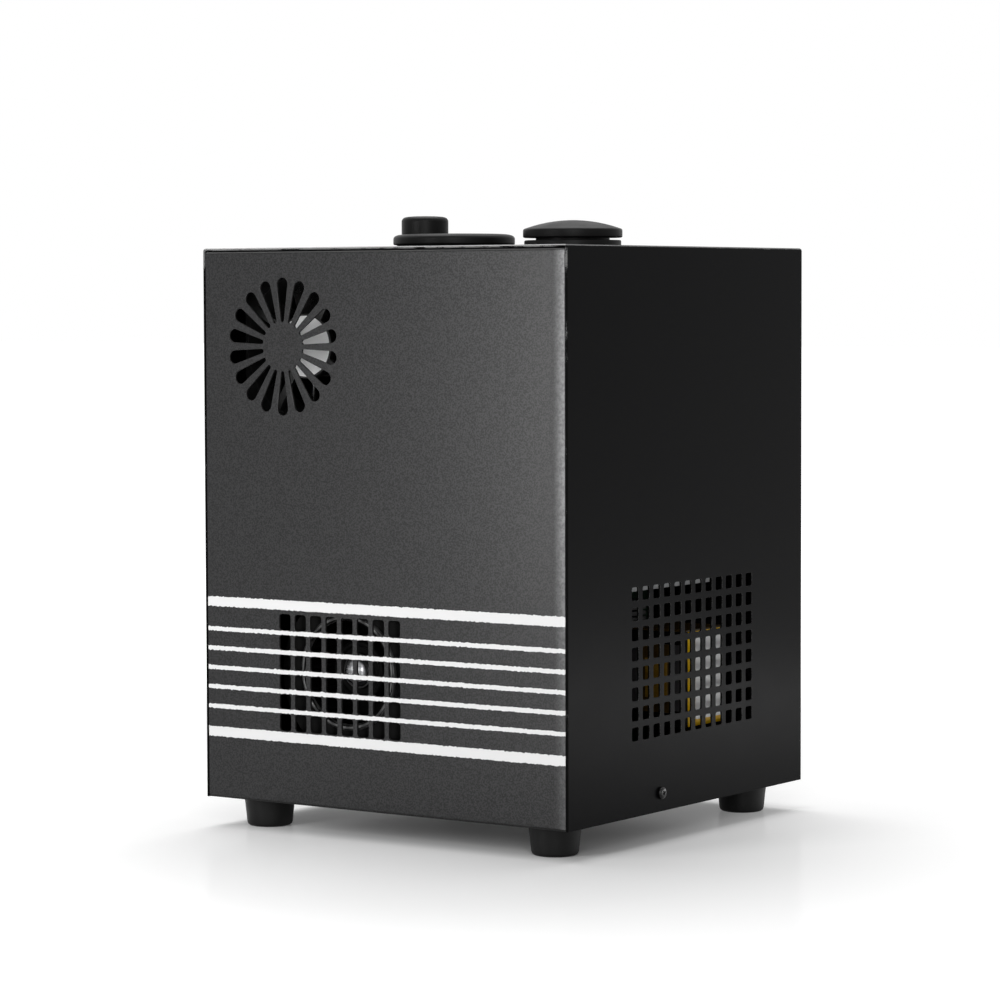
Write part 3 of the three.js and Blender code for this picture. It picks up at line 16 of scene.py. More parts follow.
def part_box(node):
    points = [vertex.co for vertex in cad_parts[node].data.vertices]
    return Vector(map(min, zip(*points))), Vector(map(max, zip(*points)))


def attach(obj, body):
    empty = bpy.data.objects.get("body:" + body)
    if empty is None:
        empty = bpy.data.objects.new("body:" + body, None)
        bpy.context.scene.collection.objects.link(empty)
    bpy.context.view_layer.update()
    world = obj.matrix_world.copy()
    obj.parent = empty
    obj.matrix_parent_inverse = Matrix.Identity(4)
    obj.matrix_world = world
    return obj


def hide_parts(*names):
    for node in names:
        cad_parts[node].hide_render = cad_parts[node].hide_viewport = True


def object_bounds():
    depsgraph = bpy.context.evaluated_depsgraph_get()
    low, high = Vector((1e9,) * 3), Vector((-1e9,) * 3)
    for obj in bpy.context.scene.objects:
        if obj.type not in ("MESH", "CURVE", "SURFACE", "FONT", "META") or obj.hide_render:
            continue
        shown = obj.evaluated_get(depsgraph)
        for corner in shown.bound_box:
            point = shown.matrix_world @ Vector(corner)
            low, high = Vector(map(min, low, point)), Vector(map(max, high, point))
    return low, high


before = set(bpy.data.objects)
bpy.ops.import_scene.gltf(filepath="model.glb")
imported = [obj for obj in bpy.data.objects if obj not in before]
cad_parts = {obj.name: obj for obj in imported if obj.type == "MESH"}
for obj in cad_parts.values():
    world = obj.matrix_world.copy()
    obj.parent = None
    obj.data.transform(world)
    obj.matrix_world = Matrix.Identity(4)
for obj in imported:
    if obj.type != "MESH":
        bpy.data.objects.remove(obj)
packed_low, packed_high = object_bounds()
MM = 0.001
WHOLE_TURN = 2 * math.pi
ORIGIN = Vector((0, 0, 0))
bpy.ops.object.select_all(action="DESELECT")


def in_mm(lengths, digits=1):
    return [round(v / MM, digits) for v in lengths]


print("packed model, mm:", in_mm(packed_high - packed_low))

# %% [markdown]
# ## Places to measure from
#
# The cover's corners give the cabinet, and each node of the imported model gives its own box, so a size
# that changes there moves the dressed piece too. Offsets from a box are typed in millimetres.

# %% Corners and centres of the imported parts
COVER_LOW, COVER_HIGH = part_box("cover")
LEFT, FRONT, BASE = COVER_LOW
RIGHT, _, TOP = COVER_HIGH
CORNERS = ("front_left", "front_right", "rear_left", "rear_right")


def centre_of(node):
    low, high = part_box(node)
    return (low + high) / 2


def shifted(point, x, y, z):
    """The point moved by millimetres along the three axes."""
    return Vector(point) + Vector((x, y, z)) * MM


def at_height(centre, z):
    return Vector((centre.x, centre.y, z))


def at_depth(centre, y, x=0, z=0):
    """A point at depth y, beside or above a centre by x and z millimetres."""
    return Vector((centre.x + x * MM, y, centre.z + z * MM))


print("cabinet, mm:", in_mm(COVER_HIGH - COVER_LOW))

# %% [markdown]
# ## Working by hand in code
#
# Each operator works on what is selected, so these helpers select one piece, pick faces or edges by
# their place, and go in and out of edit mode. Every piece ends with its place in its mesh and its
# object at the origin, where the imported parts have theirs.

# %% Helpers for selecting and editing
def only(piece):
    bpy.ops.object.select_all(action="DESELECT")
    piece.select_set(True)
    bpy.context.view_layer.objects.active = piece
    return piece


def named(name):
    """Name the piece that was just added and put its place in its mesh."""
    piece = bpy.context.active_object
    piece.name = piece.data.name = name
    only(piece)
    bpy.ops.object.transform_apply(location=True, rotation=True, scale=True)
    return piece


def edit(piece, mode="FACE"):
    only(piece)
    bpy.context.tool_settings.mesh_select_mode = [mode == kind for kind in ("VERT", "EDGE", "FACE")]
    bpy.ops.object.mode_set(mode="EDIT")


def edit_all(piece, mode="FACE"):
    edit(piece, mode)
    bpy.ops.mesh.select_all(action="SELECT")


def leave_edit():
    bpy.ops.object.mode_set(mode="OBJECT")


def pick(piece, kind, test):
    """Select the faces or edges whose middle and direction pass the test, in edit mode."""
    mesh = piece.data
    for elements in (mesh.vertices, mesh.edges, mesh.polygons):
        elements.foreach_set("select", [False] * len(elements))
    if kind == "FACE":
        for face in mesh.polygons:
            face.select = bool(test(face.center, face.normal))
    else:
        for edge in mesh.edges:
            start, end = (mesh.vertices[i].co for i in edge.vertices)
            edge.select = bool(test((start + end) / 2, (end - start).normalized()))
    edit(piece, kind)


def bisect(piece, place, normal, **settings):
    edit_all(piece)
    bpy.ops.mesh.bisect(plane_co=place, plane_no=normal, **settings)
    leave_edit()


def moved(piece, matrix):
    piece.data.transform(matrix)
    piece.data.update()
    return piece


def remove(piece):
    bpy.data.objects.remove(piece)


# %% [markdown]
# ## Shared ways of making a piece
#
# Most parts of this machine are bent sheet, moulded blocks or turned rounds. A block starts as a cube
# and a bar as a cylinder. A turned part starts as a circle that is extruded and scaled from ring to
# ring while it stands on the origin and looks up. A matrix then lays it to face the front, the rear or
# a side, and goes into the mesh.

# %% Blocks, bars and turned parts
TURNS = {"front": (90, "X"), "rear": (-90, "X"), "right": (90, "Y"), "left": (-90, "Y"), "down": (180, "X"),
         "up": (0, "X")}


def laid(place, toward):
    degrees, axis = TURNS[toward]
    return Matrix.Translation(place) @ Matrix.Rotation(math.radians(degrees), 4, axis)


def turn_about(place, axis, degrees):
    there = Matrix.Translation(place)
    return there @ Matrix.Rotation(math.radians(degrees), 4, axis) @ there.inverted()


def block(name, low, high):
    low, high = Vector(low), Vector(high)
    bpy.ops.mesh.primitive_cube_add(size=1, location=(low + high) / 2)
    bpy.context.active_object.scale = high - low
    return named(name)


def rounded_block(name, low, high, radius, axis, segments=3):
    """A block whose corners along one axis are rounded, as those of a square punch are."""
    piece = block(name, low, high)
    number = "XYZ".index(axis)
    pick(piece, "EDGE", lambda middle, along: abs(along[number]) > 0.9)
    bpy.ops.mesh.bevel(offset=radius * MM, segments=segments, affect="EDGES")
    leave_edit()
    return piece


def bar(name, radius, start, end, vertices=24):
    """A round bar of this radius in millimetres between two points."""
    bpy.ops.mesh.primitive_cylinder_add(vertices=vertices, radius=radius * MM, depth=(end - start).length,
                                        location=(start + end) / 2)
    bpy.context.active_object.rotation_euler = (end - start).to_track_quat("Z", "Y").to_euler()
    return named(name)


def turned(name, rings, place=ORIGIN, toward="up", vertices=64, hollow=False):
    """Extrude and scale a circle through rings of (radius, height) in millimetres, then lay it in place."""
    (radius, height), *rest = rings
    bpy.ops.mesh.primitive_circle_add(vertices=vertices, radius=radius * MM, location=(0, 0, height * MM),
                                      fill_type="NOTHING" if hollow else "NGON")
    piece = named(name)
    edit_all(piece, "EDGE" if hollow else "FACE")
    for next_radius, next_height in rest:
        rise = (0, 0, (next_height - height) * MM)
        bpy.ops.mesh.extrude_region_move(TRANSFORM_OT_translate={"value": rise})
        wider = next_radius / radius
        bpy.ops.transform.resize(value=(wider, wider, 1), center_override=(0, 0, next_height * MM))
        radius, height = next_radius, next_height
    if hollow:
        bpy.ops.mesh.select_all(action="DESELECT")
        bpy.ops.mesh.select_non_manifold()
        bpy.ops.mesh.bridge_edge_loops()
    bpy.ops.mesh.select_all(action="SELECT")
    bpy.ops.mesh.normals_make_consistent(inside=False)
    leave_edit()
    return moved(piece, laid(place, toward))


# %% [markdown]
# The rims are rounded by a Bevel modifier, because a sharp edge never catches the light. What repeats is
# modelled once and copied, and holes are cut as a punch or a drill would cut them.

# %% Rims, copies and cuts
def use(piece, kind, **settings):
    """Add a modifier with these settings and apply it."""
    only(piece)
    modifier = piece.modifiers.new(kind.title(), kind)
    for key, setting in settings.items():
        setattr(modifier, key, setting)
    bpy.ops.object.modifier_apply(modifier=modifier.name)
    return piece


def shade(piece, smooth=35):
    only(piece)
    bpy.ops.object.shade_smooth_by_angle(angle=math.radians(smooth))
    return use(piece, "WEIGHTED_NORMAL", mode="FACE_AREA", keep_sharp=True, weight=100)


def round_rims(piece, width, segments=3, angle=40, smooth=35):
    """Bevel the sharp rims by a width in millimetres, then shade large faces flat and the bevels smooth."""
    use(piece, "BEVEL", width=width * MM, segments=segments, limit_method="ANGLE",
        angle_limit=math.radians(angle), use_clamp_overlap=False)
    return shade(piece, smooth)


def copy_of(piece, name, matrix):
    copy = piece.copy()
    copy.data = piece.data.copy()
    copy.name = copy.data.name = name
    bpy.context.scene.collection.objects.link(copy)
    return moved(copy, matrix)


def around(piece, count, place):
    """Replace the piece by copies of it, evenly around an axis that runs front to back."""
    home = Matrix.Translation(place)
    copies = [copy_of(piece, f"{piece.name}_{i}", home @ Matrix.Rotation(WHOLE_TURN * i / count, 4, "Y"))
              for i in range(count)]
    remove(piece)
    return copies


def joined(name, pieces):
    bpy.ops.object.select_all(action="DESELECT")
    for piece in pieces:
        piece.select_set(True)
    bpy.context.view_layer.objects.active = pieces[0]
    if len(pieces) > 1:
        bpy.ops.object.join()
    return named(name)


def combine(piece, other, operation):
    use(piece, "BOOLEAN", operation=operation, object=other, solver="EXACT")
    remove(other)
    return piece


def cut(piece, cutters):
    return combine(piece, joined("cutter", cutters), "DIFFERENCE")


# %% [markdown]
# ## The camera
#
# The lens is long and the camera is almost level, just under the top of the cabinet, so the top pieces
# show in profile and their foot is hidden by the front edge. The place was fitted to the cabinet's
# corners.

# %% Camera
CAMERA_TURN = math.radians(34.74)
CAMERA_TILT = math.radians(3.317)
CAMERA_ROLL = math.radians(-0.173)
CAMERA_REACH = 1890.4 * MM
CAMERA_RIGHT = -4.18 * MM
CAMERA_RISE = 10.36 * MM
CAMERA_LENS = 126.78
AIM_HEIGHT = 145 * MM

facing = Matrix.Rotation(CAMERA_TURN, 4, "Z") @ Matrix.Rotation(math.pi / 2 - CAMERA_TILT, 4, "X")
aim = Vector((0, 0, BASE + AIM_HEIGHT))
offset = facing.to_3x3() @ Vector((CAMERA_RIGHT, CAMERA_RISE, CAMERA_REACH))
bpy.ops.object.camera_add(location=aim + offset)
camera = bpy.context.active_object
camera.name = "camera"
camera.rotation_euler = (facing @ Matrix.Rotation(CAMERA_ROLL, 4, "Z")).to_euler()
camera.data.lens = CAMERA_LENS
camera.data.clip_start = 0.1
bpy.context.scene.camera = camera
print("camera at, mm:", in_mm(camera.location, 0))

# %% [markdown]
# ## Small node graphs
#
# A material here is a Principled shader and one or two shared effects. An effect is a node group with
# named inputs, built once. These helpers add a node with its settings and join two sockets, and the
# short ones after them make masks, which are 1 where a paint is wanted and 0 elsewhere.

# %% Helpers for node graphs
def add(tree, kind, **settings):
    node = tree.nodes.new("ShaderNode" + kind)
    for key, setting in settings.items():
        if key in node.bl_rna.properties:
            setattr(node, key, setting)
        else:
            node.inputs[key.replace("_", " ")].default_value = setting
    return node


def wire(tree, start, end):
    tree.links.new(start, end)


def feed(tree, term, socket):
    """Give a socket another socket's output or a plain number."""
    if isinstance(term, bpy.types.NodeSocket):
        wire(tree, term, socket)
    else:
        socket.default_value = term


def math_step(tree, operation, *terms):
    """One arithmetic step on sockets or numbers; gives its output socket."""
    node = add(tree, "Math", operation=operation)
    for term, socket in zip(terms, node.inputs):
        feed(tree, term, socket)
    return node.outputs[0]


def times(tree, product, *terms):
    for term in terms:
        product = math_step(tree, "MULTIPLY", product, term)
    return product


def over(tree, value, bound):
    return math_step(tree, "GREATER_THAN", value, bound)


def under(tree, value, bound):
    return math_step(tree, "LESS_THAN", value, bound)


def between(tree, value, low, high):
    return times(tree, over(tree, value, low), under(tree, value, high))


def away_from(tree, value, middle):
    return math_step(tree, "ABSOLUTE", math_step(tree, "SUBTRACT", value, middle))


def spread(tree, mask, low, high, to_low=0.0, to_high=1.0):
    """Stretch a mask between two levels, clamped."""
    node = add(tree, "MapRange", interpolation_type="SMOOTHSTEP", From_Min=low, From_Max=high,
               To_Min=to_low, To_Max=to_high)
    wire(tree, mask, node.inputs["Value"])
    return node.outputs["Result"]


# %% [markdown]
# A pattern has to stay where it is on its piece, so all of them read Object coordinates. The scale of a
# noise is then the number of its features in a metre.

# %% Object coordinates, noise and groups
def object_place(tree):
    return add(tree, "TexCoord").outputs["Object"]


def parts_of(tree, vector):
    """The X, Y and Z of a vector."""
    split = add(tree, "SeparateXYZ")
    wire(tree, vector, split.inputs[0])
    return split.outputs


def noise(tree, place, scale, detail, roughness=0.5):
    node = add(tree, "TexNoise", Detail=detail, Roughness=roughness)
    wire(tree, place, node.inputs["Vector"])
    feed(tree, scale, node.inputs["Scale"])
    return node.outputs["Fac"]


def effect(name, outputs, **inputs):
    """A new node group with named inputs, each with its usual value, and named outputs."""
    tree = bpy.data.node_groups.new(name, "ShaderNodeTree")
    for label, usual in inputs.items():
        socket = tree.interface.new_socket(label.replace("_", " "), in_out="INPUT",
                                           socket_type="NodeSocketFloat")
        socket.default_value = usual
    for label in outputs:
        tree.interface.new_socket(label, in_out="OUTPUT", socket_type="NodeSocketFloat")
    start = tree.nodes.new("NodeGroupInput")
    end = tree.nodes.new("NodeGroupOutput")
    return tree, start.outputs, end.inputs


# %% [markdown]
# ## Effects that the finishes share
#
# Powder coat is never flat: it has a fine orange peel and a slow mottle in its grey. Moulded plastic
# and rolled metal have the same two, only finer. One group gives all of them: a height for the bump
# and a slow tone for colour and roughness.

# %% Grain: orange peel, mottle and speckle
grain, given, made = effect("Surface grain", ["Height", "Mottle"], Peel_Size=0.8, Mottle_Size=14.0, Speckle=0.3)
place = object_place(grain)
peel_scale, fine_scale, slow_scale = (
    math_step(grain, "DIVIDE", features / MM, given[label])
    for features, label in ((1, "Peel Size"), (3, "Peel Size"), (1, "Mottle Size")))
wire(grain, noise(grain, place, peel_scale, 2.0, roughness=0.6), made["Height"])
fine = noise(grain, place, fine_scale, 1.0)
slow = noise(grain, place, slow_scale, 3.0)
specks = times(grain, math_step(grain, "SUBTRACT", fine, 0.5), given["Speckle"], 4.0)
wire(grain, math_step(grain, "ADD", spread(grain, slow, 0.3, 0.7), specks), made["Mottle"])

# %% [markdown]
# Brushed and turned metal has fine lines in one direction. The same noise gives them when its place is
# scaled by one number along the lines, here along X, and by a much larger one across them.

# %% Brushing: fine lines along one axis
brushing, given, made = effect("Brushed lines", ["Height", "Tone"], Line_Width=0.15, Line_Length=20.0)
parts = parts_of(brushing, object_place(brushing))
pack = add(brushing, "CombineXYZ")
for axis, label in (("X", "Line Length"), ("Y", "Line Width"), ("Z", "Line Width")):
    scale = math_step(brushing, "DIVIDE", 1 / MM, given[label])
    wire(brushing, times(brushing, parts[axis], scale), pack.inputs[axis])
lines = noise(brushing, pack.outputs[0], 1.0, 2.0)
wire(brushing, lines, made["Height"])
wire(brushing, spread(brushing, lines, 0.35, 0.65), made["Tone"])

# %% [markdown]
# A stripe is printed through a screen on rough paint, so its edge wanders by a tenth or two of a
# millimetre. This group gives 1 between two heights and 0 outside them, with a noise that shifts both
# edges.

# %% Print: a band between two heights with a ragged edge
band, given, made = effect("Printed band", ["Mask"], Low=0.0, High=0.01, Ragged=0.0002)
place = object_place(band)
wander = math_step(band, "SUBTRACT", noise(band, place, 900.0, 2.0), 0.5)
level = math_step(band, "ADD", parts_of(band, place)["Z"], times(band, wander, given["Ragged"], 2.0))
wire(band, between(band, level, given["Low"], given["High"]), made["Mask"])

# %% [markdown]
# Handling knocks the paint off along a rim. This group marks spots within a given distance of a
# height, and only where two noises are high together, so the chips come in clusters.

# %% Chips: bare spots along a rim
chips, given, made = effect("Rim chips", ["Mask"], Rim_Height=0.3, Band=0.001, Rarity=0.62)
place = object_place(chips)
near = under(chips, away_from(chips, parts_of(chips, place)["Z"], given["Rim Height"]), given["Band"])
spots = times(chips, noise(chips, place, 900.0, 2.0), noise(chips, place, 45.0, 1.0), 2.0)
wire(chips, times(chips, near, over(chips, spots, given["Rarity"])), made["Mask"])
print("effects:", [tree.name for tree in bpy.data.node_groups])

# %% [markdown]
# ## A finish from a colour
#
# Colours are written as they look on screen, from 0 to 255, and turned into the linear values that
# the shader wants. The group's mottle makes the colour a little darker and lighter, and shifts the
# roughness, and its height goes through a Bump node.

# %% Finishes
def linear(level):
    level = level / 255
    return level / 12.92 if level <= 0.04045 else ((level + 0.055) / 1.055) ** 2.4


def colour(red, green=None, blue=None):
    red, green, blue = (red, red, red) if green is None else (red, green, blue)
    return (linear(red), linear(green), linear(blue), 1.0)


def finish(name, tone, roughness, metallic=0.0, specular=0.5, mottle=0.08, peel=0.8, depth=0.02,
           patch=14.0, speckle=0.3, uneven=0.08, glint=0.0, lines=False):
    """A material: tone, roughness and metal, varied by grain or by lines. Glint varies the gloss too."""
    material = bpy.data.materials.new(name)
    material.use_nodes = True
    tree = material.node_tree
    shader = tree.nodes["Principled BSDF"]
    shader.inputs["Metallic"].default_value = metallic
    shader.inputs["Specular IOR Level"].default_value = specular
    if lines:
        group = add(tree, "Group", node_tree=brushing)
        varied = group.outputs["Tone"]
    else:
        group = add(tree, "Group", node_tree=grain, Peel_Size=peel, Mottle_Size=patch, Speckle=speckle)
        varied = group.outputs["Mottle"]
    mix = add(tree, "Mix", data_type="RGBA")
    for socket, change in ((mix.inputs[6], 1 - mottle), (mix.inputs[7], 1 + mottle)):
        socket.default_value = [min(1.0, v * change) for v in tone[:3]] + [1.0]
    wire(tree, varied, mix.inputs["Factor"])
    wire(tree, mix.outputs[2], shader.inputs["Base Color"])
    wire(tree, spread(tree, varied, 0.0, 1.0, roughness - uneven / 2, roughness + uneven / 2),
         shader.inputs["Roughness"])
    if glint:
        wire(tree, spread(tree, varied, 0.2, 0.8, specular * (1 - glint), specular * (1 + glint)),
             shader.inputs["Specular IOR Level"])
    bump = add(tree, "Bump", Strength=1.0, Distance=depth * MM)
    wire(tree, group.outputs["Height"], bump.inputs["Height"])
    wire(tree, bump.outputs["Normal"], shader.inputs["Normal"])
    return material


# %% [markdown]
# The plastics, rubbers and paints come first. Depth is the height of the orange peel in millimetres, so
# a gloss moulding has little of it and ceramic fibre much.

# %% Plastics, metals and board materials
black_plastic = finish("satin black plastic", colour(24), 0.42, specular=0.4, peel=0.5, depth=0.01)
black_gloss = finish("smooth black plastic", colour(20), 0.28, specular=0.45, peel=1.4, depth=0.006)
lid_plastic = finish("moulded black lid", colour(16), 0.45, specular=0.1, peel=0.5, depth=0.01)
foot_rubber = finish("foot rubber", colour(6), 0.5, specular=0.2, peel=0.4, mottle=0.15)
# Lighter than the other black plastics, so the lip's and washer's thin arcs read brighter: partly a painted
# highlight
lip_plastic = finish("moulded inlet lip", colour(52), 0.45, specular=0.7, peel=1.4, depth=0.006)
# Darker than the other black plastics: black plastic with painted shade of the dark inside
shade_dark_plastic = finish("matt black plastic", colour(9), 0.55, specular=0.05, peel=0.6, depth=0.01)
fan_black = finish("glossy fan plastic", colour(12), 0.25, specular=0.9, depth=0.006)
sleeve_black = finish("capacitor sleeve", colour(22, 22, 26), 0.25, peel=1.2, depth=0.005)
display_glass = finish("display glass", colour(9, 10, 13), 0.06, specular=0.6, peel=8.0, depth=0.002)
black_screw = finish("blackened screw", colour(7), 0.22, metallic=0.25, specular=0.35, peel=0.5, depth=0.008)
black_anodised = finish("black anodised aluminium", colour(26), 0.45, specular=0.15, peel=0.6, depth=0.006)
zinc = finish("zinc plated steel", colour(178, 180, 182), 0.38, metallic=1.0, peel=3.0, depth=0.01)
dull_zinc = finish("passivated steel", colour(150, 151, 152), 0.5, metallic=0.8, peel=3.0, depth=0.01)
nut_steel = finish("polished nut", colour(190, 191, 193), 0.3, metallic=1.0, peel=2.0, depth=0.004)
bright_steel = finish("turned stainless", colour(196, 197, 200), 0.22, metallic=1.0, depth=0.004, lines=True)
raw_aluminium = finish("machined aluminium", colour(190, 192, 195), 0.35, metallic=1.0, depth=0.006, lines=True)
bare_copper = finish("copper tube", colour(184, 112, 72), 0.3, metallic=1.0, mottle=0.2, peel=2.0, depth=0.008)
copper_wire = finish("enamelled wire", colour(168, 84, 44), 0.3, metallic=0.8, peel=0.6, depth=0.01)
ceramic_fibre = finish("ceramic fibre", colour(226, 221, 208), 0.9, peel=0.7, depth=0.15)
board_green = finish("green board lacquer", colour(15, 38, 22), 0.35, mottle=0.2, peel=2.0)
tape_yellow = finish("yellow winding tape", colour(255, 196, 0), 0.4, specular=0.2, mottle=0.12, peel=2.5,
                     depth=0.05)
film_brown = finish("brown capacitor resin", colour(122, 92, 14), 0.3, mottle=0.2, peel=1.5)
# A darker copy of the resin brown, used as painted shade on the transformer
coil_shade_brown = finish("painted coil shade", colour(58, 43, 11), 0.4, specular=0.2, mottle=0.3, peel=1.5)
ferrite = finish("ferrite", colour(48, 48, 50), 0.55, peel=0.5, depth=0.03)
label_white = finish("plain white label", colour(250), 0.4, mottle=0.03, peel=1.5, depth=0.01)
relay_white = finish("relay case", colour(206, 206, 200), 0.4, mottle=0.04, peel=1.2, depth=0.01)
resistor_tan = finish("resistor coat", colour(168, 140, 96), 0.4, mottle=0.12, peel=1.0, depth=0.01)
print("finishes:", len(bpy.data.materials))

# %% [markdown]
# Two more ways to change a finish: another colour laid over it where a mask is 1, as print and bare
# chips are, and a plain helper that says where a new piece belongs: the body that carries it and the
# imported nodes that it stands for.

# %% Overlays, and where a piece belongs
def overlay(material, mask, tone, roughness=None):
    """Lay another colour, and if given another roughness, over a finish where the mask is 1."""
    tree = material.node_tree
    shader = tree.nodes["Principled BSDF"]
    layers = [("RGBA", "Base Color", tone, (6, 7, 2))]
    if roughness is not None:
        layers.append(("FLOAT", "Roughness", roughness, (2, 3, 0)))
    for kind, label, value, (below, above, result) in layers:
        mix = add(tree, "Mix", data_type=kind)
        mix.inputs[above].default_value = value
        wire(tree, mask, mix.inputs["Factor"])
        wire(tree, shader.inputs[label].links[0].from_socket, mix.inputs[below])
        wire(tree, mix.outputs[result], shader.inputs[label])


def wear(piece, material):
    """Give the piece this one material."""
    piece.data.materials.clear()
    piece.data.materials.append(material)


def put(piece, material, body="cabinet", nodes=()):
    """Dress a piece, let it ride on its body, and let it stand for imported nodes."""
    wear(piece, material)
    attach(piece, body)
    if nodes:
        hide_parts(*nodes)


def dress(material, *nodes):
    """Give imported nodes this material."""
    for node in nodes:
        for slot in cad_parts[node].material_slots:
            slot.material = material


# %% [markdown]
# ## Studio
#
# The photograph has a white floor that fades into a white background, and only a soft grey shadow
# under the cabinet. The floor is matt with a trace of gloss, which gives the faint mirror image of the
# feet. What the camera and mirrors see of it is lifted, so that the lit floor is pure white. The lift
# is smaller under the cabinet and near it, so the grey there is the lamps' shadow and a painted
# shadow together. The world is white to them too, and gives the object only a low fill.

# %% Floor and world
FLOOR_WIDTH = 30
FLOOR_GLOSS = 0.07
FLOOR_LIFT, LIFT_UNDERNEATH, LIFT_AROUND = 0.19, 0.012, 0.34
FILL = 0.18
UNDERNEATH = {"X": 3 * MM, "Y": 8 * MM}
AROUND = Vector((60 * MM, -150 * MM, packed_low.z))
WHITE = (1, 1, 1, 1)
bpy.context.scene.view_settings.view_transform = "Standard"


def seen_directly(tree):
    """1 for camera, mirror and glass rays, 0 for light on its way to a surface."""
    rays = add(tree, "LightPath").outputs
    seen = math_step(tree, "MAXIMUM", rays["Is Camera Ray"], rays["Is Glossy Ray"])
    return math_step(tree, "MAXIMUM", seen, rays["Is Transmission Ray"])


bpy.ops.mesh.primitive_grid_add(x_subdivisions=4, y_subdivisions=4, size=FLOOR_WIDTH,
                                location=(0, 0, packed_low.z))
studio_floor = named("studio_floor")
floor_paper = bpy.data.materials.new("white paper floor")
floor_paper.use_nodes = True
tree = floor_paper.node_tree
tree.nodes.remove(tree.nodes["Principled BSDF"])
paper = add(tree, "BsdfDiffuse", Color=colour(236))
polish = add(tree, "BsdfGlossy", Color=colour(240), Roughness=0.16)
surface = add(tree, "MixShader", Fac=FLOOR_GLOSS)
lift = add(tree, "Emission", Color=WHITE)
both = add(tree, "AddShader")
place = object_place(tree)
distance = add(tree, "VectorMath", operation="DISTANCE")
distance.inputs[1].default_value = AROUND
wire(tree, place, distance.inputs[0])
away = distance.outputs["Value"]
parts = parts_of(tree, place)
outside = math_step(tree, "MAXIMUM", *(away_from(tree, parts[axis], shift)
                                       for axis, shift in UNDERNEATH.items()))
# Less lift under and near the cabinet paints a shadow there, over the lamps' own
lift_shaded_underneath = spread(tree, outside, RIGHT - 12 * MM, RIGHT + 9 * MM, LIFT_UNDERNEATH, FLOOR_LIFT)
lift_with_painted_shadow = math_step(tree, "ADD", lift_shaded_underneath, spread(tree, away, 0.09, 0.3, 0.0, LIFT_AROUND - FLOOR_LIFT))
fade = math_step(tree, "MAXIMUM", lift_with_painted_shadow, spread(tree, away, 0.43, 1.1))
wire(tree, times(tree, seen_directly(tree), fade), lift.inputs["Strength"])
for start, end in ((paper, surface.inputs[1]), (polish, surface.inputs[2]), (surface, both.inputs[0]),
                   (lift, both.inputs[1]), (both, tree.nodes["Material Output"].inputs["Surface"])):
    wire(tree, start.outputs[0], end)
wear(studio_floor, floor_paper)

world = bpy.data.worlds.new("studio")
bpy.context.scene.world = world
world.use_nodes = True
tree = world.node_tree
backdrop = tree.nodes["Background"]
backdrop.inputs["Color"].default_value = WHITE
wire(tree, spread(tree, seen_directly(tree), 0.0, 1.0, FILL, 1.0), backdrop.inputs["Strength"])
print("floor at, mm:", in_mm([packed_low.z]), "width, m:", FLOOR_WIDTH)

# %% [markdown]
# Four soft boxes light the cabinet. The tall one in front makes the grey panel brighter towards
# the near edge, where a painted sheen adds to it. The one overhead lights the top bend, whose pale line
# is also a painted highlight, and the one at the right lifts the black wall and what shows through its
# grille. A low strip puts a glow on the wall's foot.

# %% Lamps
def soft_box(name, place, aim, width, height, power):
    bpy.ops.object.light_add(type="AREA", location=place)
    lamp = bpy.context.active_object
    lamp.name = name
    lamp.rotation_euler = (Vector(aim) - Vector(place)).to_track_quat("-Z", "Y").to_euler()
    lamp.data.shape = "RECTANGLE"
    lamp.data.size, lamp.data.size_y = width, height
    lamp.data.energy = power


MIDDLE = (0, 0, 0.16)
soft_box("key_box", (-0.18, -0.78, 0.25), (0.08, -0.115, 0.16), 0.24, 0.42, 2.7)
soft_box("top_box", (-0.3, 0.4, 1.7), MIDDLE, 1.3, 1.3, 20)
soft_box("right_box", (1.1, -1.5, 0.7), MIDDLE, 0.9, 0.9, 14)
soft_box("low_strip", (0.42, 0.26, 0.02), (0.115, 0.0, 0.015), 0.45, 0.03, 0.29)

# %% [markdown]
# ## Grey front paint
#
# The front is a fine textured powder coat in dark grey with seven printed white stripes, and the words
# under them are left bare. The stripes are a mask on the height, so they stay crisp at any distance,
# and a second mask keeps them on the outer face, out of the holes. Along the near edge the coat is
# painted paler, more so higher up: a painted sheen of the light on that edge.

# %% Grey powder coat with stripes
STRIPES = [(101.7, 106.8), (88.65, 90.9), (78.35, 80.65), (68.15, 70.4), (57.9, 60.2), (47.6, 49.8),
           (32.65, 37.85)]
STRIPE_RAGGED = 0.7 * MM
POWDER = dict(roughness=0.31, specular=0.3, mottle=0.5, peel=1.1, depth=0.016, patch=0.8, speckle=0.2,
              uneven=0.04, glint=0.16)
grey_coat = finish("grey powder coat", colour(22, 22, 23), **POWDER)
grey_plain = finish("plain grey powder coat", colour(22, 22, 23), **POWDER)
tree = grey_coat.node_tree
place = object_place(tree)
x, y, z = parts_of(tree, place)
outer_face = under(tree, y, FRONT + 0.12 * MM)
# Painted sheen: the coat is painted paler towards the near edge and higher up
near_edge_sheen = spread(tree, x, RIGHT - 9 * MM, RIGHT - 0.5 * MM)
higher = spread(tree, z, BASE + 40 * MM, BASE + 180 * MM, 0.3, 1.0)
patchy = spread(tree, noise(tree, place, 640.0, 4.0), 0.3, 0.7, 0.5, 1.0)
overlay(grey_coat, times(tree, near_edge_sheen, outer_face, higher, patchy), colour(134, 134, 135))
printed = 0.0
for low, high in STRIPES:
    stripe = add(tree, "Group", node_tree=band, Low=BASE + low * MM, High=BASE + high * MM,
                 Ragged=STRIPE_RAGGED)
    printed = math_step(tree, "MAXIMUM", printed, stripe.outputs["Mask"])
overlay(grey_coat, times(tree, printed, outer_face), colour(218), roughness=0.55)
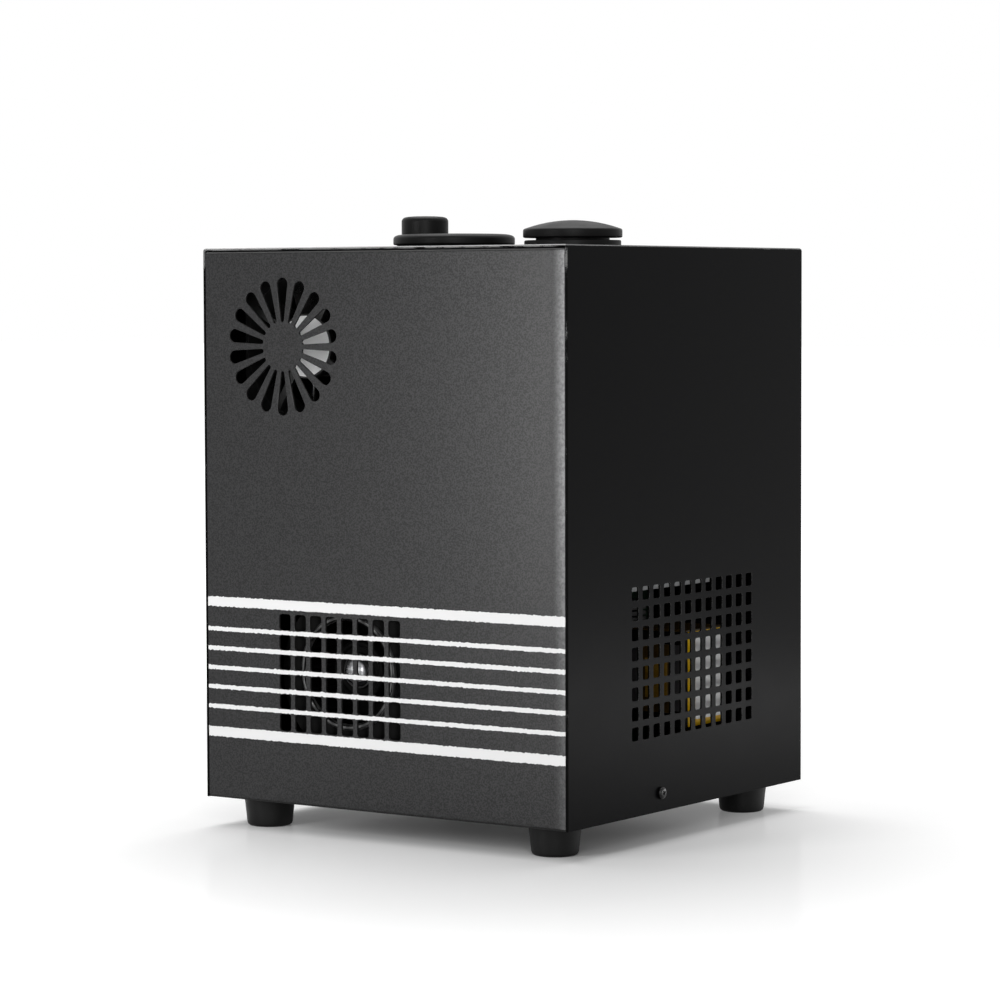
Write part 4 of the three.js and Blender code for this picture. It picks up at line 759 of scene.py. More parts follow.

# %% [markdown]
# The cut walls of the holes are painted nearly black, a painted shade, and so is the sheet's lower
# edge. Only the vent's slots get a thin pale line just behind the face, a painted highlight.

# %% Hole walls of the front
by_the_vent = over(tree, z, BASE + 150 * MM)
LINE_START, LINE_END = FRONT + 0.2 * MM, FRONT + 0.5 * MM
# A thin pale line just inside the vent's slots is a painted highlight of their lit wall
overlay(grey_coat, times(tree, between(tree, y, LINE_START, LINE_END), by_the_vent), colour(84))
wall_start = spread(tree, by_the_vent, 0.0, 1.0, LINE_START, LINE_END)
in_sheet = between(tree, y, wall_start, FRONT + 1.7 * MM)
# The hole walls are painted nearly black, a painted shade
hole_wall_shade = times(tree, between(tree, z, BASE + 30 * MM, BASE + 285 * MM), in_sheet)
overlay(grey_coat, hole_wall_shade, colour(5), roughness=0.7)
# The sheet's lower bend is painted dark, a painted shade
overlay(grey_coat, under(tree, z, BASE + 1.1 * MM), colour(8), roughness=0.7)
print("stripes:", len(STRIPES), "from, mm:", STRIPES[-1][0], "to:", STRIPES[0][1])

# %% [markdown]
# ## Black cover paint
#
# The cover is smoother and almost black. Its pale line along the top bend is a painted highlight. Small
# chips along the front rim of the right wall and along its top edge show bare grey steel. The walls of
# its grille's holes are painted nearly black as shade, with a faint ragged painted highlight on them.

# %% Black satin paint with chipped rims
black_coat = finish("black satin paint", colour(7, 7, 8), 0.33, specular=0.023, mottle=0.04, peel=0.9,
                    depth=0.008, patch=30.0, speckle=0.2, uneven=0.02)
tree = black_coat.node_tree
place = object_place(tree)
x, y, z = parts_of(tree, place)
front_rim = under(tree, y, FRONT + 0.5 * MM)
rims = math_step(tree, "MAXIMUM", front_rim, over(tree, math_step(tree, "ABSOLUTE", x), RIGHT - 0.7 * MM))
top_chips = add(tree, "Group", node_tree=chips, Rim_Height=TOP, Band=0.9 * MM, Rarity=0.74).outputs["Mask"]
overlay(black_coat, times(tree, top_chips, rims), colour(110), roughness=0.5)
overlay(black_coat, front_rim, colour(6), roughness=0.6)
worn = times(tree, noise(tree, place, 2700.0, 3.0), noise(tree, place, 110.0, 1.0))
near_the_top = spread(tree, z, TOP - 16 * MM, TOP - 8 * MM, 0.0, 0.22)
rim_spots = over(tree, math_step(tree, "ADD", worn, near_the_top), 0.43)
overlay(black_coat, times(tree, rim_spots, front_rim), colour(105), roughness=0.55)
# The top half millimetre of the rims is painted pale: a painted highlight along the bend
overlay(black_coat, times(tree, over(tree, z, TOP - 0.5 * MM), rims), colour(165), roughness=0.5)

by_the_grille = times(tree, between(tree, z, BASE + 30 * MM, BASE + 125 * MM), over(tree, y, FRONT + 50 * MM))
# The grille's hole walls are painted nearly black, a painted shade
in_sheet = between(tree, x, RIGHT - 1.5 * MM, RIGHT - 0.1 * MM)
overlay(black_coat, times(tree, by_the_grille, in_sheet), colour(5), roughness=0.7)
# A ragged pale line on those walls is a painted highlight of their lit edge
painted_wall_glint = times(tree, between(tree, x, RIGHT - 0.25 * MM, RIGHT - 0.03 * MM),
             spread(tree, noise(tree, place, 3500.0, 2.0), 0.42, 0.6))
overlay(black_coat, times(tree, by_the_grille, painted_wall_glint), colour(100))
print("paints ready:", grey_coat.name, "/", black_coat.name)

# %% [markdown]
# ## Front panel and base
#
# One sheet of steel is bent into the base, the front panel with a top flange, and a low rear lip. As in
# the workshop, it starts as a flat blank: a plane whose edges are extruded where the sheet turns. The
# bend lines get a bevel of the real bend radius, and Solidify gives the sheet its thickness inwards,
# so the outer faces stay at the drawn size.

# %% Bend the chassis sheet
PANEL_SHEET, PANEL_BEND = 1.5 * MM, 1.7 * MM
TOP_FLANGE, LOW_FLANGE = 12 * MM, 16 * MM
FLANGE_GAP = 14 * MM


def at(value, target, slack=0.01 * MM):
    return abs(value - target) < slack


def blank_sheet(name, low, high, z):
    bpy.ops.mesh.primitive_plane_add(size=1, location=((low.x + high.x) / 2, (low.y + high.y) / 2, z))
    bpy.context.active_object.scale = (high.x - low.x, high.y - low.y, 1)
    return named(name)


def lift_edges(piece, test, *steps):
    """Extrude the picked edges by each step in turn, as a press brake turns up an edge."""
    pick(piece, "EDGE", test)
    for step in steps:
        bpy.ops.mesh.extrude_region_move(TRANSFORM_OT_translate={"value": step})
    leave_edit()


def bend(piece, test, radius, segments):
    pick(piece, "EDGE", test)
    bpy.ops.mesh.bevel(offset=radius, segments=segments, profile=0.5, affect="EDGES")
    leave_edit()


sheet_low, sheet_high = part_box("chassis")
front_and_base = blank_sheet("front_and_base", sheet_low, sheet_high, sheet_low.z)
flange_start, flange_end = sheet_low.y + FLANGE_GAP, sheet_high.y - FLANGE_GAP
for y in (flange_start, flange_end):
    bisect(front_and_base, (0, y, 0), (0, 1, 0))
lift_edges(front_and_base, lambda middle, along: at(middle.y, sheet_low.y),
           (0, 0, sheet_high.z - sheet_low.z), (0, TOP_FLANGE, 0))
lift_edges(front_and_base, lambda middle, along: at(middle.y, sheet_high.y) and at(middle.z, sheet_low.z),
           (0, 0, LOW_FLANGE))
lift_edges(front_and_base, lambda middle, along: (at(abs(middle.x), sheet_high.x)
                                                   and at(middle.z, sheet_low.z)
                                                   and flange_start < middle.y < flange_end), (0, 0, LOW_FLANGE))


def bend_lines(middle, along):
    lengthwise = abs(along.x) > 0.9 and (at(middle.z, sheet_low.z) or at(middle.z, sheet_high.z))
    crosswise = at(middle.y, sheet_low.y) or at(middle.y, sheet_high.y)
    sideways = abs(along.y) > 0.9 and at(middle.z, sheet_low.z) and flange_start < middle.y < flange_end
    return (lengthwise and crosswise) or sideways


bend(front_and_base, bend_lines, PANEL_BEND, 5)
use(front_and_base, "SOLIDIFY", thickness=PANEL_SHEET, offset=1, use_even_offset=True)
print("chassis sheet faces:", len(front_and_base.data.polygons))

# %% [markdown]
# The vent is a flower of 18 tapered slots and the grille has 8 by 6 holes with small corner radii. A
# punch is modelled for each and copied to every place, and one boolean makes all the holes. The slot's
# punch is the hull of a thin and a thick pin. The grille's top and bottom rows are a little taller.

# %% Punch the vent and the grille
VENT, BLOWER = centre_of("fan_frame"), centre_of("blower_nut")
VENT_SLOTS = 18
SLOT_FROM, SLOT_TO = 12.8, 35.8
SLOT_NARROW, SLOT_WIDE = 1.15, 3.5
COLUMNS, ROWS = 8, 6
COLUMN_PITCH, ROW_PITCH = 10.1, 10.3
HOLE_WIDE, HOLE_BELOW, HOLE_ABOVE = 7.46, 4.15, 3.75
BOTTOM_ROW_EXTRA, TOP_ROW_EXTRA = 1.1, 0.7
HOLE_RADIUS = 1.5
PUNCH_REACH = 4 * MM
FOOT_HOLE, SCREW_HOLE = 2.3, 1.8
grille_corner = Vector((LEFT + 49.3 * MM, FRONT, BASE + 69.4 * MM - (ROWS - 1) / 2 * ROW_PITCH * MM))


def drill(radius, place, axis, reach=PUNCH_REACH, vertices=24):
    """A round punch through a place, along one axis."""
    step = reach * Vector([letter == axis for letter in "XYZ"])
    return bar("drill", radius, place - step, place + step, vertices)


def side_screw_drill():
    screw_spot = centre_of("cover_screw_right")
    return drill(SCREW_HOLE, Vector((0, screw_spot.y, screw_spot.z)), "X", reach=150 * MM)


slot_punch = joined("slot_punch", [
    drill(radius, at_depth(VENT, FRONT, 0, reach), "Y", vertices=28)
    for radius, reach in ((SLOT_NARROW, SLOT_FROM + SLOT_NARROW), (SLOT_WIDE, SLOT_TO - SLOT_WIDE))])
edit_all(slot_punch)
bpy.ops.mesh.convex_hull()
leave_edit()
punches = around(moved(slot_punch, Matrix.Translation(-VENT)), VENT_SLOTS, VENT)
for column in range(COLUMNS):
    for row in range(ROWS):
        x, z = COLUMN_PITCH * column, ROW_PITCH * row
        below = HOLE_BELOW + (BOTTOM_ROW_EXTRA if row == 0 else 0)
        above = HOLE_ABOVE + (TOP_ROW_EXTRA if row == ROWS - 1 else 0)
        low = shifted(grille_corner, x, 0, z - below)
        high = shifted(grille_corner, x + HOLE_WIDE, 0, z + above)
        low.y, high.y = FRONT - PUNCH_REACH, FRONT + PUNCH_REACH
        punches.append(rounded_block("punch", low, high, HOLE_RADIUS, "Y"))
punches += [drill(FOOT_HOLE, at_height(centre_of(f"foot_{corner}"), BASE), "Z") for corner in CORNERS]
punches += [drill(SCREW_HOLE, at_depth(centre_of(f"rear_screw_{side}"), sheet_high.y), "Y", reach=5 * MM)
            for side in ("left", "right")]
cut(front_and_base, [*punches, side_screw_drill()])
round_rims(front_and_base, 0.22)
put(front_and_base, grey_coat, nodes=["chassis"])
print("holes punched in the front:", VENT_SLOTS + COLUMNS * ROWS, "faces:", len(front_and_base.data.polygons))

# %% [markdown]
# ## Cover
#
# Both side walls and the top are one bent sheet as well. Its raw front edges frame the panel, and the
# right wall has a grille of 12 by 8 holes. It is made as the chassis was.

# %% Bend and punch the cover
COVER_SHEET, COVER_BEND = 1.2 * MM, 1.6 * MM
SIDE_COLUMNS, SIDE_ROWS, SIDE_PITCH = 12, 8, 10.2
SIDE_HOLE_WIDE, SIDE_HOLE_TALL, SIDE_HOLE_RADIUS = 6.5, 7, 1.2
side_corner = Vector((RIGHT, FRONT + 58.7 * MM, BASE + 38.8 * MM))
cover_sheet = blank_sheet("cover_sheet", COVER_LOW, COVER_HIGH, TOP)
lift_edges(cover_sheet, lambda middle, along: at(abs(middle.x), RIGHT), (0, 0, BASE - TOP))
bend(cover_sheet, lambda middle, along: at(middle.z, TOP) and abs(along.y) > 0.9, COVER_BEND, 4)
use(cover_sheet, "SOLIDIFY", thickness=COVER_SHEET, offset=-1, use_even_offset=True)
punches = []
for column in range(SIDE_COLUMNS):
    for row in range(SIDE_ROWS):
        low = shifted(side_corner, 0, SIDE_PITCH * column, SIDE_PITCH * row)
        high = shifted(low, 0, SIDE_HOLE_WIDE, SIDE_HOLE_TALL)
        low.x, high.x = RIGHT - PUNCH_REACH, RIGHT + PUNCH_REACH
        punches.append(rounded_block("punch", low, high, SIDE_HOLE_RADIUS, "X"))
punches += [drill(radius, at_height(centre_of(node), TOP), "Z", vertices=72)
            for node, radius in (("hopper_neck", 25.3), ("nozzle_tube", 18.3))]
cut(cover_sheet, [*punches, side_screw_drill()])
round_rims(cover_sheet, 0.16)
put(cover_sheet, black_coat, nodes=["cover"])
print("cover faces:", len(cover_sheet.data.polygons))

# %% [markdown]
# ## Screws
#
# The right wall has one black pan head screw with a cross recess. The head is turned from a few rings
# and the cross is cut by two tapered blades. One screw is modelled, and each place gets a copy. The
# screws under the feet are the same kind in plain zinc.

# %% Pan head screws with a cross recess
HEAD_SHARES = ((1, 0.45), (0.95, 0.68), (0.83, 0.87), (0.6, 0.98), (0.3, 1))
HEAD_RIM = 0.15
BLADE_LONG_SHARE, BLADE_WIDE_SHARE, BLADE_DEEP_SHARE = 0.52, 0.12, 0.35
COVER_HEAD, FOOT_HEAD = 2.0, 2.6
RECESS_TURN = 28


def pan_screw(name, radius, head_radius, head, reach):
    """A screw on the origin: its shank points down and its head looks up. Sizes are in millimetres."""
    screw = turned(name, [(radius, -reach), (radius, 0), (head_radius - HEAD_RIM, 0), (head_radius, HEAD_RIM),
                          *((head_radius * wide, head * tall) for wide, tall in HEAD_SHARES)], vertices=40)
    corner = Vector((head_radius * BLADE_LONG_SHARE, head_radius * BLADE_WIDE_SHARE, 0)) * MM
    for degrees in (0, 90):
        blade = block("blade", shifted(-corner, 0, 0, head * BLADE_DEEP_SHARE),
                      shifted(corner, 0, 0, head + 0.6))
        pick(blade, "FACE", lambda middle, normal: normal.z < -0.9)
        bpy.ops.transform.resize(value=(0.45, 0.8, 1), center_override=(0, 0, 0))
        leave_edit()
        cut(screw, [moved(blade, turn_about(ORIGIN, "Z", degrees))])
    return round_rims(screw, 0.05, segments=1, angle=50, smooth=40)


cover_screw = pan_screw("cover_screw", 1.5, 3.25, COVER_HEAD, 5.0)
for node, toward in (("cover_screw_right", "right"), ("cover_screw_left", "left"),
                     ("rear_screw_left", "rear"), ("rear_screw_right", "rear")):
    low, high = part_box(node)
    spot = (low + high) / 2
    if toward == "rear":
        spot.y = high.y - COVER_HEAD * MM
    elif toward == "right":
        spot.x = high.x - COVER_HEAD * MM
    else:
        spot.x = low.x + COVER_HEAD * MM
    screw = copy_of(cover_screw, f"{node}_dressed", laid(spot, toward) @ turn_about(ORIGIN, "Z", RECESS_TURN))
    put(screw, black_screw, nodes=[node])
foot_screw = pan_screw("foot_screw", 2.0, 3.8, FOOT_HEAD, 14.0)
for corner in CORNERS:
    node = f"foot_screw_{corner}"
    seat = shifted(at_height(centre_of(node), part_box(node)[0].z), 0, 0, FOOT_HEAD)
    put(copy_of(foot_screw, f"{node}_dressed", laid(seat, "down")), zinc, nodes=[node])
for piece in (cover_screw, foot_screw):
    remove(piece)
print("cover, rear and foot screws:", 2, 2, len(CORNERS))

# %% [markdown]
# ## Feet
#
# Moulded rubber feet, wider at the top, with a rounded lower rim and a recess for the screw. The
# outline is turned as an open ring and its two ends are bridged, so the screw hole stays open.

# %% Rubber feet
foot_low, foot_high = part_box("foot_front_left")
tall = (foot_high.z - foot_low.z) / MM
rubber_foot = shade(turned("rubber_foot", [
    (2.3, 6.0), (4.6, 6.0), (5.0, 5.6), (5.0, 0.5), (5.4, 0.0), (9.9, 0.0), (10.9, 0.25), (11.7, 0.9),
    (12.1, 2.0), (12.55, 6.5), (13.1, 11.5), (13.45, 14.2), (13.7, 15.1), (13.6, tall - 0.2), (13.2, tall),
    (2.3, tall)], vertices=72, hollow=True), 50)
for corner in CORNERS:
    node = f"foot_{corner}"
    spot = at_height(centre_of(node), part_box(node)[0].z)
    put(copy_of(rubber_foot, f"{node}_dressed", laid(spot, "up")), foot_rubber, nodes=[node])
remove(rubber_foot)
print("feet, mm tall:", round(tall, 1))

# %% [markdown]
# ## Lid and knob
#
# The hopper lid is a moulded disc with a soft shoulder and a plug ring below it, and its knob stands
# off centre. Both are turned with enough rings in the shoulder for a smooth light line.

# %% Hopper neck, lid and knob
neck_low, neck_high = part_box("hopper_neck")
hopper = centre_of("hopper_neck")
tall = (neck_high.z - neck_low.z) / MM
neck_ring = turned("hopper_neck_ring", [
    (23, 0), (25, 0), (25, tall - 2), (30.7, tall - 2), (31, tall - 1.7), (31, tall - 0.3), (30.7, tall),
    (23, tall)], at_height(hopper, neck_low.z), vertices=96, hollow=True)
put(shade(neck_ring), lid_plastic, nodes=["hopper_neck"])

DISC_TALL = 5.8
lid_low, lid_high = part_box("hopper_lid")
disc = turned("lid_disc", [
    (31.8, 0), (32.6, 0.2), (32.85, 0.7), (32.85, 3.2), (32.65, 3.95), (32.1, 4.6), (31.2, 5.1), (30.0, 5.45),
    (28.4, 5.7), (26.5, DISC_TALL)], at_height(hopper, lid_high.z - DISC_TALL * MM), vertices=96)
plug = turned("lid_plug", [(20.7, 0), (22.4, 0), (22.7, 0.4), (22.7, 8.2), (20.7, 8.2)],
              at_height(hopper, lid_low.z), vertices=96, hollow=True)
lid_piece = shade(joined("hopper_lid_disc", [disc, plug]), 50)
put(lid_piece, lid_plastic, body="lid", nodes=["hopper_lid"])

knob_foot = at_height(centre_of("lid_knob"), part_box("lid_knob")[0].z)
knob_piece = turned("lid_knob_round", [
    (12.4, 0), (12.65, 0.15), (12.7, 0.5), (12.7, 6.9), (12.6, 7.6), (12.25, 8.3), (11.65, 8.9), (10.8, 9.3),
    (9.6, 9.55), (6.5, 9.8), (3.0, 9.9)], knob_foot, vertices=80)
put(shade(knob_piece, 50), lid_plastic, body="lid", nodes=["lid_knob"])
print("lid, mm:", in_mm(lid_piece.dimensions), "knob, mm:", in_mm(knob_piece.dimensions))

# %% [markdown]
# ## Nozzle flange and cap
#
# A flat flange surrounds the nozzle on the top sheet. The cap that closes it has a short neck, an
# overhanging rim and a shallow dome, whose heights come from a circle through its rim and apex.

# %% Nozzle flange and cap
nozzle = centre_of("nozzle_flange")
flange_low, flange_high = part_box("nozzle_flange")
tall = (flange_high.z - flange_low.z) / MM
flange_piece = turned("nozzle_flange_ring", [
    (18.3, 0), (25.3, 0), (25.6, 0.3), (25.6, tall - 0.6), (25.4, tall - 0.2), (25.0, tall), (18.3, tall)],
    at_height(nozzle, flange_low.z), vertices=96, hollow=True)
put(shade(flange_piece), lid_plastic, nodes=["nozzle_flange"])

CAP_TALL, DOME_REACH, DOME_RISE = 10.5, 25.0, 4.35
DOME_SHARES = (1.0, 0.92, 0.82, 0.7, 0.55, 0.4, 0.25, 0.1)
cap_low, cap_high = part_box("nozzle_cap")
dome_radius = (DOME_REACH ** 2 + DOME_RISE ** 2) / (2 * DOME_RISE)
dome = [(DOME_REACH * share, CAP_TALL - dome_radius + math.sqrt(dome_radius ** 2 - (DOME_REACH * share) ** 2))
        for share in DOME_SHARES]
cap_top = turned("cap_top", [
    (19.5, 0), (19.5, 1.2), (25.3, 1.2), (25.9, 1.35), (26.25, 1.8), (26.25, 4.9), (26.1, 5.45),
    (25.7, 5.9), *dome],
    at_height(nozzle, cap_high.z - CAP_TALL * MM), vertices=96)
cap_plug = turned("cap_plug", [(12.7, 0), (15.4, 0), (15.7, 0.4), (15.7, 10.2), (12.7, 10.2)],
                  at_height(nozzle, cap_low.z), vertices=96, hollow=True)
cap_piece = shade(joined("nozzle_cap_round", [cap_top, cap_plug]), 50)
put(cap_piece, lid_plastic, body="cap", nodes=["nozzle_cap"])
print("dome radius, mm:", round(dome_radius, 1))

# %% [markdown]
# ## Cooling fan
#
# An 80 mm fan stands behind the vent. Its plain label shows through the slots at the right. The frame is
# a square block with a round bore and open corners, a hub plate and four struts.

# %% Fan frame and label
FAN_WALL, FAN_BORE, WAIST_BORE = 3, 38, 39.4
MOUNT_HOLE, MOUNT_PLACES = 2.15, (-35.75, 35.75)
STRUT_FROM, STRUT_TO, STRUT_HALF, STRUT_TURN, STRUTS = 16.5, 38.3, 2, 30, 4
fan_low, fan_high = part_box("fan_frame")


def fan_drill(radius, vertices, x=0, z=0):
    return bar("drill", radius, at_depth(VENT, fan_low.y - MM, x, z),
               at_depth(VENT, fan_high.y + MM, x, z), vertices)


fan_body = rounded_block("fan_body", fan_low, fan_high, 4, "Y", segments=4)
waist = block("waist", shifted(fan_low, -1, 4, -1), shifted(fan_high, 1, -4, 1))
cut(fan_body, [cut(waist, [fan_drill(WAIST_BORE, 96)])])
cut(fan_body, [fan_drill(FAN_BORE, 96), *(fan_drill(MOUNT_HOLE, 20, x, z)
                                          for x in MOUNT_PLACES for z in MOUNT_PLACES)])
hub_plate = turned("hub_plate", [(17, 0), (17, 2.5), (16.8, 2.85), (16.4, 3.0)],
                   at_depth(VENT, fan_low.y + FAN_WALL * MM), "front")
strut = block("strut", (STRUT_FROM * MM, 0, -STRUT_HALF * MM), (STRUT_TO * MM, FAN_WALL * MM, STRUT_HALF * MM))
struts = around(moved(strut, turn_about(ORIGIN, "Y", STRUT_TURN)), STRUTS, at_depth(VENT, fan_low.y))
fan_piece = round_rims(joined("fan_frame_moulded", [fan_body, hub_plate, *struts]), 0.25, segments=2)
put(fan_piece, black_plastic, nodes=["fan_frame"])
label = turned("fan_label", [(15.9, 0), (15.9, 0.1), (15.8, 0.15)], at_depth(VENT, fan_low.y), "front")
put(label, label_white)
print("fan frame, mm:", in_mm(fan_piece.dimensions))

# %% [markdown]
# A fan blade is a thin sheet that is twisted: steep at the hub and flatter at the tip. A flat grid is
# bent and twisted by Simple Deform, given its thickness, and copied seven times around the hub.

# %% Fan rotor
BLADES, BLADE_LONG, BLADE_WIDE, BLADE_SHEET, BLADE_MIDDLE, BLADE_TURN = 7, 21, 19, 1.3, 26, 138
rotor_low, rotor_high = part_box("fan_rotor")
tall = (rotor_high.y - rotor_low.y) / MM
bpy.ops.mesh.primitive_grid_add(x_subdivisions=10, y_subdivisions=8, size=1, location=ORIGIN)
bpy.context.active_object.scale = (BLADE_LONG * MM, BLADE_WIDE * MM, 1)
blade = named("fan_blade")
for method, degrees in (("BEND", 28), ("TWIST", -24)):
    use(blade, "SIMPLE_DEFORM", deform_method=method, angle=math.radians(degrees), deform_axis="X")
use(blade, "SOLIDIFY", thickness=BLADE_SHEET * MM, offset=0)
round_rims(blade, 0.3, segments=2, angle=60)
moved(blade, Matrix.Translation((BLADE_MIDDLE * MM, 0, 0)) @ turn_about(ORIGIN, "X", BLADE_TURN))
hub = turned("rotor_hub", [
    (15.6, 0), (16.2, 0.2), (16.5, 0.8), (16.5, tall - 0.8), (16.2, tall - 0.2), (15.6, tall)],
    at_depth(VENT, rotor_high.y), "front")
blades = around(blade, BLADES, at_depth(VENT, (rotor_low.y + rotor_high.y) / 2))
rotor_piece = shade(joined("fan_rotor_moulded", [hub, *blades]))
put(rotor_piece, fan_black, body="fan", nodes=["fan_rotor"])
print("fan blades:", BLADES, "rotor, mm:", in_mm(rotor_piece.dimensions))

# %% [markdown]
# ## Blower behind the grille
#
# Through the front grille one sees the rounded lip of the blower's inlet, and inside it a squirrel-cage
# impeller: a hub, a rim and many forward curved blades, closed by a bright dome nut. The blade is a slice
# of a thin tube.

# %% Blower lip, impeller and nut
WHEEL_CLEARANCE, RIM_TALL, VANES, VANE_SHEET = 3.2, 1.6, 32, 0.8
VANE_CURVE, VANE_CENTRE = 5.5, (30.94, 0, 5.07)
VANE_ROOT, VANE_SIDE = (28.8, 0, 0), (-0.336, 0, 0.942)
impeller_low, impeller_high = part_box("blower_impeller")
wheel_front = impeller_low.y
wheel_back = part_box("blower_scroll")[1].y - WHEEL_CLEARANCE * MM
wheel_deep = wheel_back - wheel_front
lip_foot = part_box("blower_inlet_plate")[0].y + 2 * MM
lip = turned("inlet_lip", [
    (27.0, 0), (30.4, 0), (30.35, 0.9), (30.05, 1.5), (29.5, 1.95), (28.8, 2.15), (28.1, 2.05), (27.5, 1.65),
    (27.15, 1.1), (27.0, 0.5)], at_depth(BLOWER, lip_foot), "front", vertices=96, hollow=True)
put(shade(lip), lip_plastic)

hub = turned("wheel_hub", [
    (36, 0), (36, 1.5), (17.5, 1.6), (16.3, 2.4), (16, 3.5), (16, 20.6), (15.6, 21.5), (14.8, 22), (13.6, 22),
    (12.9, 21.4), (12.6, 20.7), (9.6, 20.6), (9.3, 21.2), (8.9, 21.5), (6.8, 21.5)],
    at_depth(BLOWER, wheel_back), "front", vertices=72)
rim = turned("wheel_rim", [
    (28.7, 0), (35.7, 0), (36, 0.3), (36, 1.3), (35.7, RIM_TALL), (28.7, RIM_TALL), (28.5, 1.3), (28.5, 0.3)],
    at_depth(BLOWER, wheel_front + RIM_TALL * MM), "front", vertices=72, hollow=True)
bpy.ops.mesh.primitive_cylinder_add(
    vertices=32, radius=VANE_CURVE * MM, depth=wheel_deep - 2 * MM, end_fill_type="NOTHING",
    location=Vector(VANE_CENTRE) * MM, rotation=(math.pi / 2, 0, 0))
vane = named("vane")
bisect(vane, Vector(VANE_ROOT) * MM, VANE_SIDE, clear_outer=True)
use(vane, "SOLIDIFY", thickness=VANE_SHEET * MM, offset=0)
vanes = around(vane, VANES, at_depth(BLOWER, (wheel_front + wheel_back) / 2))
axle = bar("axle", 2.5, at_depth(BLOWER, wheel_back - MM), at_depth(BLOWER, impeller_high.y))
wheel = shade(joined("impeller_wheel", [hub, rim, axle, *vanes]))
put(wheel, shade_dark_plastic, body="impeller", nodes=["blower_impeller"])

NUT_RADIUS, NUT_SKIRT, NUT_RISE = 7.3, 1.3, 4.85
nut_seat = at_depth(BLOWER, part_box("blower_nut")[1].y + 0.5 * MM)
washer = turned("nut_washer", [
    (8.2, -0.1), (9.0, -0.1), (9.1, 0.3), (8.95, 0.75), (8.6, 0.95), (8.3, 0.75), (8.2, 0.4)],
    nut_seat, "front", vertices=56, hollow=True)
put(shade(washer, 60), lip_plastic, body="impeller")
leans = [math.radians(10 * step) for step in range(9)]
dome = [(NUT_RADIUS * math.cos(lean), NUT_SKIRT + NUT_RISE * math.sin(lean)) for lean in leans]
nut = turned("dome_nut", [(NUT_RADIUS, -0.1), *dome, (0.6, 6.14)], nut_seat, "front", vertices=56)
put(shade(nut, 50), nut_steel, body="impeller", nodes=["blower_nut"])
print("impeller, mm:", in_mm(wheel.dimensions), "nut, mm:", in_mm(nut.dimensions))

# %% [markdown]
# ## Power board behind the side grille
#
# The side grille shows a transformer in yellow tape with a plain label, a brown film capacitor, black
# bulk capacitors, a finned heat sink and a green board. The transformer is a ferrite core around a
# wound bobbin: its tape fills the height, dark cheeks close its sides, and a varnished bulge of the
# inner winding shows between the core's legs. A darker copy of that brown around the bulge and over
# the bobbin's top is painted shade.

# %% Transformer
coil_low, coil_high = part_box("transformer")
coil_wide, coil_deep, coil_tall = (coil_high - coil_low) / MM
core = block("ferrite_core", shifted(coil_low, 0, 0, 8), shifted(coil_high, -0.6, 0, -8))
put(round_rims(core, 0.7, segments=2), ferrite, nodes=["transformer"])
winding = rounded_block("tape_winding", shifted(coil_low, 3, 2, 0), shifted(coil_high, 0, -2, -1), 2.2, "Z",
                        segments=5)
pick(winding, "FACE", lambda middle, normal: abs(normal.z) > 0.9)
bpy.ops.mesh.inset(thickness=0.5 * MM)
leave_edit()
put(shade(winding), tape_yellow)
bobbin = [block("cheek", shifted(coil_low, 2, y, 0), shifted(coil_low, coil_wide - 0.5, y + 2.5, coil_tall - 1))
          for y in (0.5, coil_deep - 3)]
bobbin += [block("pin", shifted(coil_low, 0, y, 3), shifted(coil_low, 4, y + 1.2, 4)) for y in range(6, 35, 7)]
put(round_rims(joined("bobbin_cheeks", bobbin), 0.3, segments=2), shade_dark_plastic)
varnished = block("varnished_coil_side", shifted(coil_low, 23, -0.4, 14), shifted(coil_low, 38, 2, 36))
use(varnished, "BEVEL", width=1.1 * MM, segments=4, limit_method="NONE")
put(shade(varnished, 60), film_brown)
# Painted shade: a darker copy of the brown around the bulge and over the bobbin's top
coil_shade_parts = [block("coil_shade_brown", shifted(coil_low, 20, -0.2, 7), shifted(coil_low, 41, 2, 43)),
             block("bobbin_top", shifted(coil_low, 1, 0.6, coil_tall - 1), shifted(coil_high, -0.2, -0.6, 0))]
put(round_rims(joined("coil_shade_brown_parts", coil_shade_parts), 0.3, segments=2), coil_shade_brown)
sticker = rounded_block("transformer_label", shifted(coil_low, coil_wide, 9.5, 3.4),
                        shifted(coil_high, 0.2, -1.2, -3.9), 1, "X")
put(sticker, label_white)
print("transformer, mm:", in_mm(coil_high - coil_low))

# %% [markdown]
# The capacitors are moulded or drawn cans. A dipped film capacitor is a pillow of resin, so its block
# gets a large bevel. A bulk capacitor has a shrunk sleeve whose rim folds over a bare aluminium
# end with a scored vent.

# %% Capacitors
film = block("dipped_capacitor", *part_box("film_capacitor"))
use(film, "BEVEL", width=4 * MM, segments=6, limit_method="NONE")
put(shade(film, 60), film_brown, nodes=["film_capacitor"])
for number in (1, 2):
    node = f"bulk_capacitor_{number}"
    can_low, can_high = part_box(node)
    tall = (can_high.x - can_low.x) / MM
    spot = centre_of(node)
    spot.x = can_low.x
    sleeve = turned(f"can_sleeve_{number}", [
        (9.4, tall - 0.4), (9.6, tall), (10.1, tall), (10.7, tall - 0.35), (11, tall - 1.1), (11, 3.0),
        (10.7, 2.4), (10.7, 1.6), (11, 1.0), (11, 0.2), (10.8, 0), (9.4, 0)], vertices=56, hollow=True)
    put(moved(shade(sleeve, 50), laid(spot, "right")), sleeve_black, nodes=[node])
    end = turned(f"can_end_{number}", [(9.4, 1.0), (9.4, tall - 0.5), (9.2, tall - 0.4)], vertices=56)
    for degrees in (0, 90):
        score = block("score", shifted(ORIGIN, -6, -0.3, tall - 0.7), shifted(ORIGIN, 6, 0.3, tall + 0.5))
        cut(end, [moved(score, turn_about(ORIGIN, "Z", degrees))])
    put(moved(shade(end), laid(spot, "right")), raw_aluminium)
